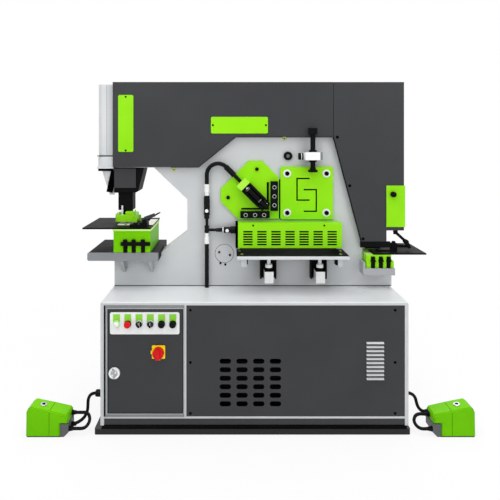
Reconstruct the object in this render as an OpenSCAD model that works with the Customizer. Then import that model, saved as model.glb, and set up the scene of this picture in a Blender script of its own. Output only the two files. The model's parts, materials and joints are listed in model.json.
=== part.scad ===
// Hydraulic ironworker: C-frame with punch, angle, section, flat-bar and notching
// stations on a sheet-metal cabinet, with two cabled foot pedals.
// Origin: middle of the base tray's underside. +X to the right, +Y to the back, +Z up.

/* [Cabinet] */
// Width of the cabinet
cab_w = 1550; // [1450:10:1700]
// Depth of the cabinet, front to back
cab_d = 700; // [660:10:800]
// Height of the deck above the floor
deck_z = 660; // [620:10:720]
// Sheet thickness of the cabinet
sheet = 3; // [2:0.5:4]
// Width of the front corner posts
post_w = 18; // [12:1:24]
// Height of the base tray
tray_h = 28; // [20:1:36]
// Height of the plinth step between tray and cabinet
step_h = 12; // [6:1:20]
// How far the tray stands out on the left
tray_left = 28; // [5:1:50]
// How far the tray stands out on the other sides
tray_edge = 7; // [4:1:20]
// Height of the kick panel's bay
kick_h = 35; // [25:1:50]
// Height of the rail under the front bays
rail_h = 10; // [6:1:16]
// Depth of the front lip of the deck
lip_h = 16; // [10:1:24]
// Width of the door bay
door_bay_w = 414; // [360:2:460]
// Width of the raised ring round the door
ring_w = 14; // [10:1:20]
// Depth of the folded door
door_t = 18; // [14:1:26]
// Gap round the door
door_gap = 3; // [2.6:0.2:5]
// Radius of the door's hinge pins
hinge_r = 3; // [2:0.5:4]

/* [Front panel] */
// Columns of cooling slots
slot_cols = 4; // [2:1:5]
// Rows of cooling slots
slot_rows = 6; // [2:1:8]
// Length of one cooling slot
slot_len = 57; // [40:1:64]
// Height of one cooling slot
slot_hgt = 25; // [15:1:30]
// Spacing of the slot columns
slot_px = 84; // [72:1:90]
// Spacing of the slot rows
slot_pz = 42.8; // [34:0.4:46]
// Number of louvre blades in the small vent
louvres = 10; // [6:1:12]
// Spacing of the louvre blades
louvre_pitch = 20; // [16:1:22]
// Width of the small vent
vent_w = 88; // [60:1:110]

/* [Frame] */
// Thickness of the whole C-frame
frame_t = 140; // [130:2:180]
// Thickness of each side plate of the C-frame
plate_t = 45; // [35:1:50]
// Height of the machine over its top cover
machine_h = 1797; // [1760:5:1850]
// Depth of the punch throat, from the frame's left edge
throat_d = 408; // [360:4:430]
// Height of the lower jaw above the floor
jaw_z = 825; // [815:1:835]
// Height of the upper jaw's underside above the floor
upper_jaw_z = 1322; // [1318:1:1340]
// How far the covers stand off the frame's faces
cover_gap = 30; // [20:1:40]
// Sheet thickness of the covers
skin = 3; // [2:0.5:4]
// Length of the end cap in front of the ram
cap_len = 89; // [70:1:100]

// Length of the two bare plates on the top cover
plate_len = 315; // [280:1:330]
// Width of the upright plate
tall_plate_w = 84; // [70:1:90]
// Height of the level plate
wide_plate_h = 92; // [80:1:96]
// Thickness of the two plates
plate_thick = 4; // [2:0.5:6]

/* [Punch station] */
// Distance of the punch axis from the frame's left edge
punch_in = 56; // [54:1:64]
// Side of the square ram
ram_side = 82; // [70:1:86]
// Radius of the punch tip
punch_r = 9; // [5:0.5:9]
// Clearance of the die round the punch, on the radius
die_clear = 0.8; // [0.4:0.1:1.5]
// Radius of the die ring
die_r = 30; // [26:1:32]
// Working travel of the ram
punch_stroke = 20; // [10:1:20]
// Height of the punch table above the floor
punch_table_z = 1003; // [998:1:1010]
// Thickness of the thin work tables
thin_t = 8; // [6:0.5:10]
// Thickness of the lower bolster table
bolster_t = 45; // [35:1:55]
// Width of the punch table, front to back
table_w = 350; // [330:2:400]

/* [Shears] */
// Thickness of the angle shear plate
angle_t = 12; // [8:1:16]
// Thickness of the section shear plate
section_t = 18; // [12:1:24]
// Side of the section shear plate
section_side = 292; // [280:2:300]
// Width of the section slots
section_slot = 8; // [5:0.5:12]
// Width of the angle slot
angle_slot = 12; // [8:1:14]
// Length of the flat-bar guard
guard_w = 563; // [540:1:570]
// Height of the flat-bar guard
guard_h = 135; // [125:1:145]
// Depth of the flat-bar guard
guard_d = 90; // [70:1:110]
// Louvre groups in the guard
guard_groups = 7; // [4:1:7]
// Depth of the shear table
shear_table_d = 175; // [140:1:200]
// Thickness of the shear table
shear_table_t = 18; // [12:1:24]
// Radius of the hold-down spindle
spindle_r = 13.5; // [10:0.5:15]
// Radius of the spindle's foot
foot_r = 26; // [20:1:30]
// Radius of the pivot pin of the shear beam
pivot_r = 40; // [30:1:44]

/* [Notcher] */
// Height of the notching table above the floor
notch_table_z = 857; // [852:1:862]
// Width of the notching table, front to back
notch_table_w = 272; // [240:2:300]
// Width of the notching die block
notch_block_w = 151; // [145:1:152]

/* [Pipes and cables] */
// Outer radius of the hydraulic pipe
pipe_r = 11.5; // [9:0.5:13]
// Bend radius of the hose's middle line
hose_bend = 62; // [56:1:64]
// Diameter of the pedal cables
cable_d = 16; // [12:0.5:17]
// Radius of the left cable gland
gland_r = 20; // [15:1:24]

/* [Pedals] */
// Length of a pedal hood
pedal_len = 209; // [206:1:225]
// Width of a pedal hood
pedal_w = 100; // [96:1:120]
// Height of a pedal hood
pedal_h = 147; // [144:1:160]
// Wall of a pedal hood
pedal_wall = 4; // [3:0.5:5]
// Radius of the treadle's hinge pin
treadle_pin_r = 4; // [3:0.5:5]

/* [Hidden] */
$fn = 48;

// Colours
light = "#cfd2d5";
charcoal = "#434548";
green = "#93e01c";
black = "#1b1c1e";
steel = "#b9bcc0";
grey = "#8f9295";
white = "#eceded";
red = "#dc1420";

// Fits
slip = 0.08;    // running fit of pins and spindles, on the radius
loose = 0.5;    // sliding clearance between flat faces
seat = 0.3;     // gap between a resting piece and its seat across two bodies

// Cabinet
cab_l = -cab_w / 2;
cab_r = cab_w / 2;
cab_f = -cab_d / 2;
cab_b = cab_d / 2;
cab_z = tray_h + step_h;
rail_z = cab_z + kick_h;
bay_z0 = rail_z + rail_h;
bay_z1 = deck_z - lip_h;
bay_x0 = cab_l + post_w;
bay_xm = bay_x0 + door_bay_w;
bay_x1 = cab_r - post_w;
lip_in = 15;                      // depth of the return flanges behind the panels
door_x0 = bay_x0 + ring_w + door_gap + 4;
door_x1 = bay_xm - ring_w - door_gap;
door_z0 = bay_z0 + ring_w + door_gap;
door_z1 = bay_z1 - ring_w - door_gap;
hinge_in = 5;                     // hinge axis behind and inside the door's corner
hinge_x = door_x1 - hinge_in;
hinge_y = cab_f + hinge_in;
door_f = cab_f;                   // the door's outer face

// Frame
fr_l = cab_l + 5;
fr_r = cab_r + 5;
fr_f = -frame_t / 2;
fr_b = frame_t / 2;
gap_in = frame_t / 2 - plate_t;   // half the gap between the side plates
throat_x = fr_l + throat_d;
cover_f = fr_f - cover_gap;
cover_b = fr_b + cover_gap;
cover_l = fr_l - skin;
frame_top = machine_h - 15;
seam_x = 448;                     // seam between the top cover and the side cover
side_r = fr_r + 60;               // right face of the side cover
cover_z0 = upper_jaw_z + 4;
wide_plate_x = -229;              // left end of the level plate
step_z = 1495;                    // underside of the top cover over the shears
notch_x = 618;                    // left wall of the notching throat
notch_jaw_z = 777;
notch_top_z = 914;
side_foot_z = 975;

// Punch station
punch_x = fr_l + punch_in;
ram_h = ram_side / 2;
bolster_z = jaw_z + bolster_t;
block_top = punch_table_z - thin_t;
ram_low = punch_table_z + 77;
nut_low = punch_table_z + 43;
guide_low = 1182;
tip_low = punch_table_z + 13;
strip_z0 = punch_table_z + 15;
block_x0 = punch_x - die_r - 11;
block_x1 = block_x0 + 207;
block_y0 = -table_w / 2 - 3;
block_y1 = 140;
table_x0 = block_x0 - 164;
table_x1 = block_x1 - 3;
bolster_x0 = block_x0 - 137;
bolster_x1 = block_x1 + 39;
seat_x = bolster_x1 + loose;      // step in the lower jaw, behind the bolster
throat_run = 176;                 // slope of the lower jaw
throat_rise = 134;

// Angle shear: the corner of the angle slot, and the clamp's diagonal
ang_x = 93;
ang_z = 1088;
ang_f = fr_f - angle_t;
lug_x = -52;
lug_z = 1233;
clamp_dir = [1, 0, -1] / sqrt(2);

// Section shear
sec_x = 303;
sec_z = 1181;
sec_f = fr_f - section_t;
bolt_off = section_side / 2 - 37;
spin_x = 331;
spin_y = fr_f - 55;
spin_z = 1388;

// Flat-bar shear
gd_x0 = -80;
gd_z0 = 890;
st_x0 = gd_x0 - 8;
st_x1 = gd_x0 + guard_w + 22;
st_z = 866;

// Shear beam
piv_x = -240;
piv_z = 1400;
nose_x = 692;
nose_z = notch_top_z + 134;
nose_r = 32;
beam_h = gap_in - 4;

// Notcher
nb_x0 = notch_x + 3;
nb_x1 = nb_x0 + notch_block_w;
nb_z1 = notch_table_z - thin_t;
nram_top = nose_z - nose_r - seat;

// Pipes
pipe_x = -252;
pipe_y = fr_f - 25;
tee_z = 978;
riser_top = 902;
union_h = 38;
neck_h = 21;
clamp_y = ang_f - 28;
lug_half = 18;
// The pipe meets the clamp's lug at 45 degrees, on the diagonal through the lug's middle
lug_face = [lug_x - lug_half / sqrt(2), clamp_y, lug_z + lug_half / sqrt(2)];
hose_z = lug_face[2] + lug_face[0] - pipe_x - hose_bend * (1 + sqrt(2));   // where the hose starts to bend

// Pedals
ped_f = cab_f - 34;
ped_b = ped_f + pedal_w;
ped_left = cab_l - 364;
ped_right = cab_r + 323;
pin_u = 150;                      // hinge of the treadle, from the open end
port_low = 34;
port_high = 84;
left_high = [-310];               // Y of the ports in the left hood and base
left_low = [-325, -366];
right_high = [-303, -325];
right_low = [-368];

// Where the pedal cables leave the cabinet
gland_y = -300;
gland_z = 178;

// ---------- helpers ----------

module box(x0, x1, y0, y1, z0, z1) {
    translate([x0, y0, z0]) cube([x1 - x0, y1 - y0, z1 - z0]);
}

// An outline drawn in X and Z, from y0 back to y1
module slab(y0, y1) {
    translate([0, y1, 0]) rotate([90, 0, 0]) linear_extrude(y1 - y0) children();
}

// A round bar along Y
module rod_y(x, z, r, y0, y1) {
    translate([x, y1, z]) rotate([90, 0, 0]) cylinder(r = r, h = y1 - y0);
}

// A round bar along X
module rod_x(y, z, r, x0, x1) {
    translate([x0, y, z]) rotate([0, 90, 0]) cylinder(r = r, h = x1 - x0);
}

module rod_z(x, y, r, z0, z1) {
    translate([x, y, z0]) cylinder(r = r, h = z1 - z0);
}

// A rectangle with round corners
module round_rect(x0, x1, y0, y1, r) {
    translate([x0 + r, y0]) square([x1 - x0 - 2 * r, y1 - y0]);
    translate([x0, y0 + r]) square([x1 - x0, y1 - y0 - 2 * r]);
    for (x = [x0 + r, x1 - r], y = [y0 + r, y1 - r]) translate([x, y]) circle(r);
}

// A flange that runs inside an outline from a to b
module edge_flange(a, b, y0, y1, t = skin) {
    d = (b - a) / norm(b - a);
    n = [-d[1], d[0]] * t;
    slab(y0, y1) polygon([a, b, b + n, a + n]);
}

function unit(v) = v / norm(v);

// The rings of a tube along a route, turned so that they don't twist
function turned(n, t) = unit(n - t * (n * t));
function frames(p, i, n) = i == len(p) ? [] :
    let (t = unit(p[min(i + 1, len(p) - 1)] - p[max(i - 1, 0)]), m = turned(n, t))
    concat([[m, cross(t, m)]], frames(p, i + 1, m));

module tube(route, d, start, sides = 10) {
    f = frames(route, 0, start);
    points = [for (i = [0 : len(route) - 1], k = [0 : sides - 1])
        route[i] + d / 2 * (f[i][0] * cos(360 * k / sides) + f[i][1] * sin(360 * k / sides))];
    last = (len(route) - 1) * sides;
    walls = [for (i = [0 : len(route) - 2], k = [0 : sides - 1])
        let (a = i * sides, j = (k + 1) % sides) [a + k, a + sides + k, a + sides + j, a + j]];
    ends = [[for (k = [0 : sides - 1]) k], [for (k = [sides - 1 : -1 : 0]) last + k]];
    polyhedron(points, concat(walls, ends), convexity = 8);
}

// ---------- cabinet ----------

module base_tray() {
    color(black) {
        translate([0, 0, 0]) linear_extrude(tray_h)
            round_rect(cab_l - tray_left, cab_r + tray_edge, cab_f - tray_edge - 4, cab_b + tray_edge, 10);
        box(cab_l + 6, cab_r - 6, cab_f + 6, cab_b - 6, tray_h, cab_z);
    }
}

module front_bays(grow) {
    translate([bay_x0 - grow, bay_z0 - grow]) square([door_bay_w - rail_h + 2 * grow, bay_z1 - bay_z0 + 2 * grow]);
    translate([bay_xm - grow, bay_z0 - grow]) square([bay_x1 - bay_xm + 2 * grow, bay_z1 - bay_z0 + 2 * grow]);
    translate([bay_x0 - grow, cab_z + sheet - grow]) square([bay_x1 - bay_x0 + 2 * grow, kick_h - sheet + 2 * grow]);
}

module door_ring() {
    difference() {
        slab(cab_f - 3, cab_f + door_t + 4) difference() {
            translate([bay_x0, bay_z0]) square([door_bay_w - rail_h, bay_z1 - bay_z0]);
            translate([door_x0 - door_gap, door_z0 - door_gap])
                square([door_x1 - door_x0 + 2 * door_gap, door_z1 - door_z0 + 2 * door_gap]);
        }
        rod_z(hinge_x, hinge_y, hinge_r + slip, bay_z0 + 2, bay_z1 - 2);
    }
}

module cabinet() {
    color(light) {
        difference() {
            union() {
                box(cab_l, cab_r, cab_f, cab_b, cab_z, deck_z - 8);
                box(cab_l + 8, cab_r - 8, cab_f + 8, cab_b - 8, deck_z - 8, deck_z);
                for (y = [cab_f + 8, cab_b - 8]) rod_x(y, deck_z - 8, 8, cab_l + 8, cab_r - 8);
                for (x = [cab_l + 8, cab_r - 8]) rod_y(x, deck_z - 8, 8, cab_f + 8, cab_b - 8);
                for (x = [cab_l + 8, cab_r - 8], y = [cab_f + 8, cab_b - 8])
                    translate([x, y, deck_z - 8]) sphere(8);
            }
            box(cab_l + sheet, cab_r - sheet, cab_f + 2 * sheet, cab_b - sheet, cab_z + sheet, deck_z - 12);
            slab(cab_f - 1, cab_f + sheet) front_bays(0);
            slab(cab_f - 1, cab_f + 2 * sheet + 1) front_bays(-lip_in);
            slab(cab_f - 1, cab_f + 40) translate([bay_x0, bay_z0]) square([door_bay_w - rail_h, bay_z1 - bay_z0]);
            for (y = [-60, 60]) rod_z(pipe_x, pipe_y, pipe_r + loose, deck_z - 20, deck_z + 1);
            rod_x(gland_y, gland_z, cable_d / 2 + 1, cab_l - 1, cab_l + sheet + 1);
            rod_x(gland_y, gland_z, cable_d / 2 + 1, cab_r - sheet - 1, cab_r + 1);
        }
        door_ring();
        // Rib between the electric bay and the hydraulic bay
        box(bay_xm - rail_h, bay_xm - rail_h + sheet, cab_f + 2 * sheet, cab_b - sheet, cab_z + sheet, deck_z - 12);
    }
}

module cooling_slots() {
    for (c = [0 : slot_cols - 1], r = [0 : slot_rows - 1])
        translate([slot_x0 + c * slot_px, slot_z0 - r * slot_pz])
            round_rect(0, slot_len, -slot_hgt / 2, slot_hgt / 2, slot_hgt / 2 - 0.5);
}
slot_x0 = bay_xm + 168;
slot_z0 = bay_z1 - 281;
vent_x = bay_x1 - 194;
vent_z = bay_z1 - 184;

module front_panels() {
    color(charcoal) {
        difference() {
            slab(cab_f, cab_f + sheet) difference() {
                translate([bay_xm + 1, bay_z0 + 1]) square([bay_x1 - bay_xm - 2, bay_z1 - bay_z0 - 2]);
                cooling_slots();
                for (i = [0 : louvres - 1]) translate([vent_x, vent_z - 3 - i * louvre_pitch - 9]) square([vent_w, 9]);
            }
        }
        // Pressed louvre blades
        for (i = [0 : louvres - 1]) translate([vent_x, cab_f, vent_z - i * louvre_pitch])
            rotate([90, 0, 90]) linear_extrude(vent_w) polygon([[0, 0], [-8, -8], [-8, -10], [0, -3]]);
        box(bay_x0 + 1, bay_x1 - 1, cab_f, cab_f + sheet, cab_z + sheet + 1, rail_z - 1);
    }
}

// Tank with the pump and its motor on top
module hydraulic_unit() {
    color(grey) {
        box(bay_xm + 60, bay_xm + 760, cab_f + 120, cab_b - 60, cab_z + sheet, cab_z + 270);
        rod_x(0, cab_z + 370, 90, bay_xm + 160, bay_xm + 460);
        box(bay_xm + 200, bay_xm + 420, -60, 60, cab_z + 270, cab_z + 300);
        rod_x(0, cab_z + 370, 45, bay_xm + 460, bay_xm + 600);
        rod_z(bay_xm + 660, 60, 35, cab_z + 270, cab_z + 330);
    }
}

// Mounting plate with its contactors
module electric_board() {
    color(steel) {
        box(bay_x0 + 20, bay_xm - rail_h - 10, cab_b - 80, cab_b - sheet, cab_z + 60, deck_z - 60);
        for (i = [0 : 3]) box(bay_x0 + 50 + i * 75, bay_x0 + 110 + i * 75, cab_b - 150, cab_b - 80, cab_z + 340, cab_z + 420);
        box(bay_x0 + 50, bay_x0 + 330, cab_b - 130, cab_b - 80, cab_z + 120, cab_z + 240);
    }
}

// ---------- frame and covers ----------

frame_outline = [[fr_l, deck_z], [fr_r, deck_z], [fr_r, notch_jaw_z], [notch_x, notch_jaw_z],
    [notch_x, notch_top_z], [side_r - 97, notch_top_z], [side_r - 97, side_foot_z + skin],
    [side_r - 40, side_foot_z + skin], [side_r - 40, frame_top],
    [fr_l, frame_top], [fr_l, upper_jaw_z], [throat_x - 187, upper_jaw_z],
    [throat_x, upper_jaw_z - 178], [throat_x, jaw_z + throat_rise],
    [seat_x, jaw_z + (seat_x - throat_x + throat_run) * throat_rise / throat_run], [seat_x, jaw_z], [fr_l, jaw_z]];

// The slots that the bars go through, grown by a clearance
module angle_slots(c) {
    translate([ang_x - angle_slot - c, ang_z - c]) square([angle_slot + 2 * c, 154 + 2 * c]);
    translate([ang_x - 154 - c, ang_z - c]) square([154 + 2 * c, angle_slot - 2 + 2 * c]);
}

module channel_slot(s, c) {
    w = section_slot + 2 * c;
    for (z = [0, 120]) translate([s > 0 ? -w / 2 : -66 - w / 2, z - w / 2]) square([66 + w, w]);
    translate([-w / 2, -w / 2]) square([w, 120 + w]);
}

module section_slots(c) {
    translate([sec_x - 54, sec_z - 39]) channel_slot(1, c);
    translate([sec_x + 53, sec_z - 101]) channel_slot(-1, c);
}

module flat_slot(z1) {
    translate([gd_x0 + 10, st_z]) square([guard_w - 20, z1 - st_z]);
}

module beam_outline(c) {
    polygon([[piv_x - 80 - c / 2, piv_z - 80 - c], [piv_x - 80 - c / 2, piv_z + 80 + c],
        [nose_x + 20 + c, piv_z + 110 + c], [nose_x + nose_r + 6 + c, piv_z + 60],
        [nose_x + nose_r + 6 + c, nose_z - c], [nose_x - nose_r + c / 2, nose_z - 1.5 * c],
        [nose_x - 132, gd_z0 + 15 - c], [gd_x0 - 20 - c, gd_z0 + 15 - c], [-150 - c, ang_z + 40]]);
}

module frame() {
    color(light) {
        difference() {
            slab(fr_f, fr_b) polygon(frame_outline);
            // Room for the shear beam between the side plates
            slab(-gap_in, gap_in) difference() {
                beam_outline(40);
                translate([-1000, 0]) square([2000, st_z - 4]);
            }
            slab(-gap_in, gap_in) translate([nose_x - 50, notch_top_z - 1]) square([95, 200]);
            slab(fr_f - 1, fr_b + 1) angle_slots(3);
            slab(fr_f - 1, fr_b + 1) section_slots(3);
            slab(fr_f - 1, fr_b + 1) flat_slot(gd_z0 + 14);
            // Pocket of the punch ram
            box(punch_x - ram_h - loose, punch_x + ram_h + loose, -ram_h - loose, ram_h + loose,
                upper_jaw_z - 1, upper_jaw_z + 250);
            // Ring groove of the inspection cover
            difference() {
                rod_y(-155, 841, 53, fr_f - 1, fr_f + 1.5);
                rod_y(-155, 841, 51, fr_f - 2, fr_f + 2);
            }
        }
        rod_y(piv_x, piv_z, pivot_r, fr_f + 5, fr_b - 5);
    }
}

module shear_beam() {
    color(steel) difference() {
        union() {
            slab(-beam_h, beam_h) beam_outline(0);
            rod_y(nose_x, nose_z, nose_r, -beam_h, beam_h);
        }
        rod_y(piv_x, piv_z, pivot_r + slip, -beam_h - 1, beam_h + 1);
        slab(-beam_h - 1, beam_h + 1) angle_slots(2);
        slab(-beam_h - 1, beam_h + 1) section_slots(2);
    }
}

module top_cover() {
    a = [cover_l, cover_z0];
    b = [-300, cover_z0];
    c = [-91, step_z];
    d = [seam_x, step_z];
    e = [seam_x, machine_h];
    f = [cover_l, machine_h];
    color(charcoal) {
        for (y = [cover_f, cover_b - skin]) slab(y, y + skin) polygon([a, b, c, d, e, f]);
        edge_flange(e, f, cover_f, cover_b);
        edge_flange(f, a, cover_f, cover_b);
        for (s = [[cover_f, fr_f], [fr_b, cover_b]], g = [[a, b], [b, c + unit(c - b) * skin], [c, d]])
            edge_flange(g[0], g[1], s[0], s[1]);
    }
}

module side_cover() {
    a = [seam_x + 2, step_z];
    b = [604, notch_top_z];
    c = [side_r - 97, notch_top_z];
    d = [side_r - 97, side_foot_z];
    e = [side_r, side_foot_z];
    f = [side_r, machine_h];
    g = [seam_x + 2, machine_h];
    color(charcoal) {
        for (y = [cover_f, cover_b - skin]) slab(y, y + skin) polygon([a, b, c, d, e, f, g]);
        edge_flange(f, g, cover_f, cover_b);
        edge_flange(e, f, cover_f, cover_b);
        for (s = [[cover_f, fr_f], [fr_b, cover_b]], p = [[a, b], [b, c]]) edge_flange(p[0], p[1], s[0], s[1]);
        edge_flange(d, e, cover_f, cover_b);
        // Blade guards under the cover, in front of and behind the notching throat
        for (y = [cover_f + skin, cover_b - skin - 8])
            box(b[0] - 6, c[0] + 22, y, y + 8, notch_top_z - 34, notch_top_z);
        // Lug of the hold-down arm
        difference() {
            box(arm_x - 12, arm_x + 12, arm_y - 14, arm_y - 7, arm_z - 12, side_foot_z);
            rod_y(arm_x, arm_z, 4, arm_y - 15, arm_y - 6);
        }
        rod_y(arm_x, arm_z, 4, arm_y - 14, arm_y + 8);
    }
}
arm_x = side_r - 38;
arm_y = -60;
arm_z = side_foot_z - 14;

module cap_outline(w, len, r) {
    translate([cover_l - len, -w]) {
        translate([0, r]) square([len, 2 * w - 2 * r]);
        translate([r, 0]) square([len - r, 2 * w]);
        for (y = [r, 2 * w - r]) translate([r, y]) circle(r);
    }
}

module end_cap() {
    w = fr_b + 12;
    color(white) {
        difference() {
            union() {
                translate([0, 0, cover_z0 + 62]) linear_extrude(machine_h - 12 - cover_z0 - 62) cap_outline(w, cap_len, 34);
                translate([0, 0, cover_z0 + 4]) linear_extrude(54) cap_outline(w + 3, cap_len + 3, 36);
                translate([0, 0, cover_z0 + 50]) linear_extrude(20) cap_outline(w - 1.5, cap_len - 1.5, 33);
            }
            translate([0, 0, cover_z0]) linear_extrude(machine_h - 12 - cover_z0 - skin) difference() {
                cap_outline(w - skin - 1, cap_len - skin - 1, 31);
                translate([cover_l - 0.01, -200]) square([10, 400]);
            }
        }
        // Tapered tail below the cap
        difference() {
            hull() {
                translate([0, 0, cover_z0 - 4]) linear_extrude(8) cap_outline(w - 8, cap_len - 12, 26, $fn = 24);
                translate([0, 0, guide_low - 14]) linear_extrude(4) cap_outline(w - 30, 30, 12, $fn = 24);
            }
            hull() {
                translate([0, 0, cover_z0 - 2]) linear_extrude(8) cap_outline(w - 12, cap_len - 16, 22, $fn = 24);
                translate([0, 0, guide_low - 20]) linear_extrude(4) cap_outline(w - 34, 26, 8, $fn = 24);
            }
        }
    }
}

module ram_guide() {
    gx1 = punch_x + 109;
    color(black) difference() {
        union() {
            slab(fr_f + 2, fr_b - 2) polygon([[cover_l, guide_low], [gx1 - 45, guide_low], [gx1 - 32, guide_low + 9],
                [gx1, upper_jaw_z], [cover_l, upper_jaw_z]]);
            box(punch_x - 56, punch_x + 65, fr_f - 8, fr_f + 2, guide_low + 26, upper_jaw_z - 4);
        }
        box(punch_x - ram_h - loose, punch_x + ram_h + loose, -ram_h - loose, ram_h + loose, guide_low - 1, upper_jaw_z + 1);
    }
}

module cover_plates() {
    color(green) slab(cover_f - plate_thick, cover_f) {
        round_rect(fr_l + 28, fr_l + 28 + tall_plate_w, machine_h - 72 - plate_len, machine_h - 72, 9);
        round_rect(wide_plate_x, wide_plate_x + plate_len, step_z + 17, step_z + 17 + wide_plate_h, 9);
    }
}

// ---------- punch station ----------

module punch_ram() {
    color(black) difference() {
        union() {
            box(punch_x - ram_h, punch_x + ram_h, -ram_h, ram_h, ram_low, upper_jaw_z + 200);
            rod_z(punch_x, 0, 28, nut_low + 12, ram_low);
            translate([punch_x, 0, nut_low]) cylinder(r1 = 21, r2 = 28, h = 12);
        }
        rod_z(punch_x, 0, punch_r + 5, nut_low - 1, ram_low);
    }
}

module punch() {
    color(steel) {
        rod_z(punch_x, 0, punch_r, tip_low, nut_low - 6);
        rod_z(punch_x, 0, punch_r + 5, nut_low - 6, ram_low);
    }
}

// Horseshoe stripper, open to the front, on two feet beside the die plate
module stripper() {
    x0 = punch_x - 56;
    x1 = punch_x + 60;
    color(green) {
        difference() {
            union() {
                translate([0, 0, strip_z0]) linear_extrude(40) round_rect(x0, x1, -64, 64, 22);
                hull() {
                    translate([punch_x + 12, 8, strip_z0 + 40]) cylinder(r = 40, h = 2, $fn = 32);
                    translate([punch_x + 12, 14, strip_z0 + 62]) cylinder(r = 30, h = 6, $fn = 32);
                }
            }
            rod_z(punch_x, 0, punch_r + 8, strip_z0 - 1, strip_z0 + 80);
            rod_z(punch_x, 0, 34, strip_z0 + 7, strip_z0 + 80);
            box(punch_x - 34, punch_x + 20, -80, 0, strip_z0 + 7, strip_z0 + 80);
            box(punch_x - ram_h - 3, punch_x + ram_h + 3, -ram_h - 3, ram_h + 3, ram_low - punch_stroke - 3, strip_z0 + 90);
        }
        for (y = [-58, 66]) box(x1 - 8, x1 + 8, y - 8, y + 8, punch_table_z, strip_z0 + 20);
        rod_z(x1 - 16, 66, 8, punch_table_z, strip_z0 + 5);
    }
}

module block_bolt_slots(xs, y, z0, z1) {
    for (x = xs) box(x - 11, x + 11, y - 1, y + 14, z0 - 1, z1);
}
punch_bolts = [block_x0 + 68, block_x0 + 113, block_x0 + 163];
notch_bolts_x = [nb_x0 + 37, nb_x0 + 80, nb_x0 + 122];

module die_block() {
    color(green) difference() {
        union() {
            box(block_x0 + 4, block_x1 - 4, block_y0 + 4, block_y1, bolster_z, block_top - 10);
            box(block_x0, block_x1, block_y0, block_y1, block_top - 10, block_top);
        }
        rod_z(punch_x, 0, die_r, block_top - 40, block_top + 1);
        rod_z(punch_x, 0, punch_r + 8, bolster_z - 1, block_top);
        block_bolt_slots(punch_bolts, block_y0 + 4, bolster_z, bolster_z + 62);
    }
}

// Die ring with its square seat plate
module die() {
    color(steel) difference() {
        union() {
            rod_z(punch_x, 0, die_r - slip, block_top - 40, block_top + 1);
            box(punch_x - 38, punch_x + 50, -70, 50, block_top, block_top + thin_t + 2);
        }
        rod_z(punch_x, 0, punch_r + die_clear, block_top - 41, block_top + thin_t + 3);
    }
}

module punch_table() {
    color(black) difference() {
        box(table_x0, table_x1, -table_w / 2, table_w / 2, block_top, punch_table_z);
        box(punch_x - 40, punch_x + 52, -72, 52, block_top - 1, punch_table_z + 1);
        for (x = [punch_x + 104, punch_x + 144]) box(x, x + 8, -150, -60, block_top - 1, punch_table_z + 1);
    }
}

// Stop fence that slides along the table, with its upright finger
fence_x = punch_x + 46;
fence_z = punch_table_z + seat;
module table_fence() {
    color(black) {
        difference() {
            union() {
                box(fence_x, fence_x + 96, -158, -118, fence_z, fence_z + 14);
                box(fence_x + 52, fence_x + 96, -150, -96, fence_z, fence_z + 24);
                rod_z(fence_x + 30, -138, 13, fence_z, fence_z + 22);
            }
            rod_y(fence_x + 76, fence_z + 30, 10, -160, -90);
        }
        for (y = [-146, -106]) difference() {
            box(fence_x + 66, fence_x + 86, y, y + 8, fence_z + 12, fence_z + 40);
            rod_y(fence_x + 76, fence_z + 30, 5, y - 1, y + 9);
        }
        rod_y(fence_x + 76, fence_z + 30, 5, -146, -98);
    }
}

module fence_lever() {
    color(black) translate([fence_x + 76, -122, fence_z + 30]) rotate([0, -28, 0]) difference() {
        union() {
            rod_y(0, 0, 9, -14, 14);
            box(6, 86, -5, 5, -4, 4);
            rod_y(26, 2, 11, -8, 8);
            box(70, 96, -9, 9, -3, 3);
        }
        rod_y(0, 0, 5 + slip, -15, 15);
    }
}

module lower_table() {
    color(grey) difference() {
        slab(-table_w / 2, table_w / 2) union() {
            round_rect(bolster_x0, bolster_x0 + 60, jaw_z, bolster_z, 10);
            translate([bolster_x0 + 30, jaw_z]) square([bolster_x1 - bolster_x0 - 30, bolster_t]);
        }
        rod_z(punch_x, 0, punch_r + 8, jaw_z - 1, bolster_z + 1);
    }
}

module jaw_brackets() {
    color(grey) {
        for (x = [fr_l + 58, fr_l + 211]) {
            translate([x - 8, 0, 0]) rotate([90, 0, 90]) linear_extrude(16)
                polygon([[fr_f, jaw_z], [-150, jaw_z], [-150, jaw_z - 10], [fr_f - 12, jaw_z - 84], [fr_f, jaw_z - 84]]);
            rod_y(x, jaw_z - 67, 14, fr_f - 14, fr_f);
        }
        // Tray under the notching block, with its turned-up end
        box(notch_x - 17, nb_x1 + 2, -notch_table_w / 2 - 14, fr_f, notch_jaw_z - 37, notch_jaw_z);
        box(notch_x - 17, notch_x - 5, -notch_table_w / 2 - 14, fr_f, notch_jaw_z, notch_jaw_z + 32);
    }
}

// ---------- angle shear ----------

angle_outline = [[-20, 1360], [56, 1360], [149, 1267], [149, 1036], [-80, 1036], [-176, 1133], [-176, 1203]];

module clamp_frame() {
    translate([lug_x, 0, lug_z]) rotate([0, 45, 0]) children();
}

module angle_plate() {
    color(green) difference() {
        union() {
            slab(ang_f, fr_f) polygon(angle_outline);
            clamp_frame() box(-lug_half, 19, clamp_y - 26, ang_f, -33, 33);
        }
        slab(ang_f - 1, fr_f + 1) angle_slots(0);
        clamp_frame() rod_x(clamp_y, 0, 11 + slip, -2, 20);
    }
}
module angle_blades() {
    color(black) {
        box(ang_x + 8, ang_x + 49, ang_f - 22, ang_f, ang_z - 4, ang_z + 159);
        box(ang_x - 159, ang_x + 3, ang_f - 22, ang_f, ang_z - 44, ang_z - 7);
    }
}

module clamp_guide() {
    color(black) clamp_frame() {
        for (z = [-33, 21]) box(20, 148, clamp_y - 16, ang_f, z, z + 12);
        box(20, 148, ang_f - 8, ang_f, -21, 21);
    }
}

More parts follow.
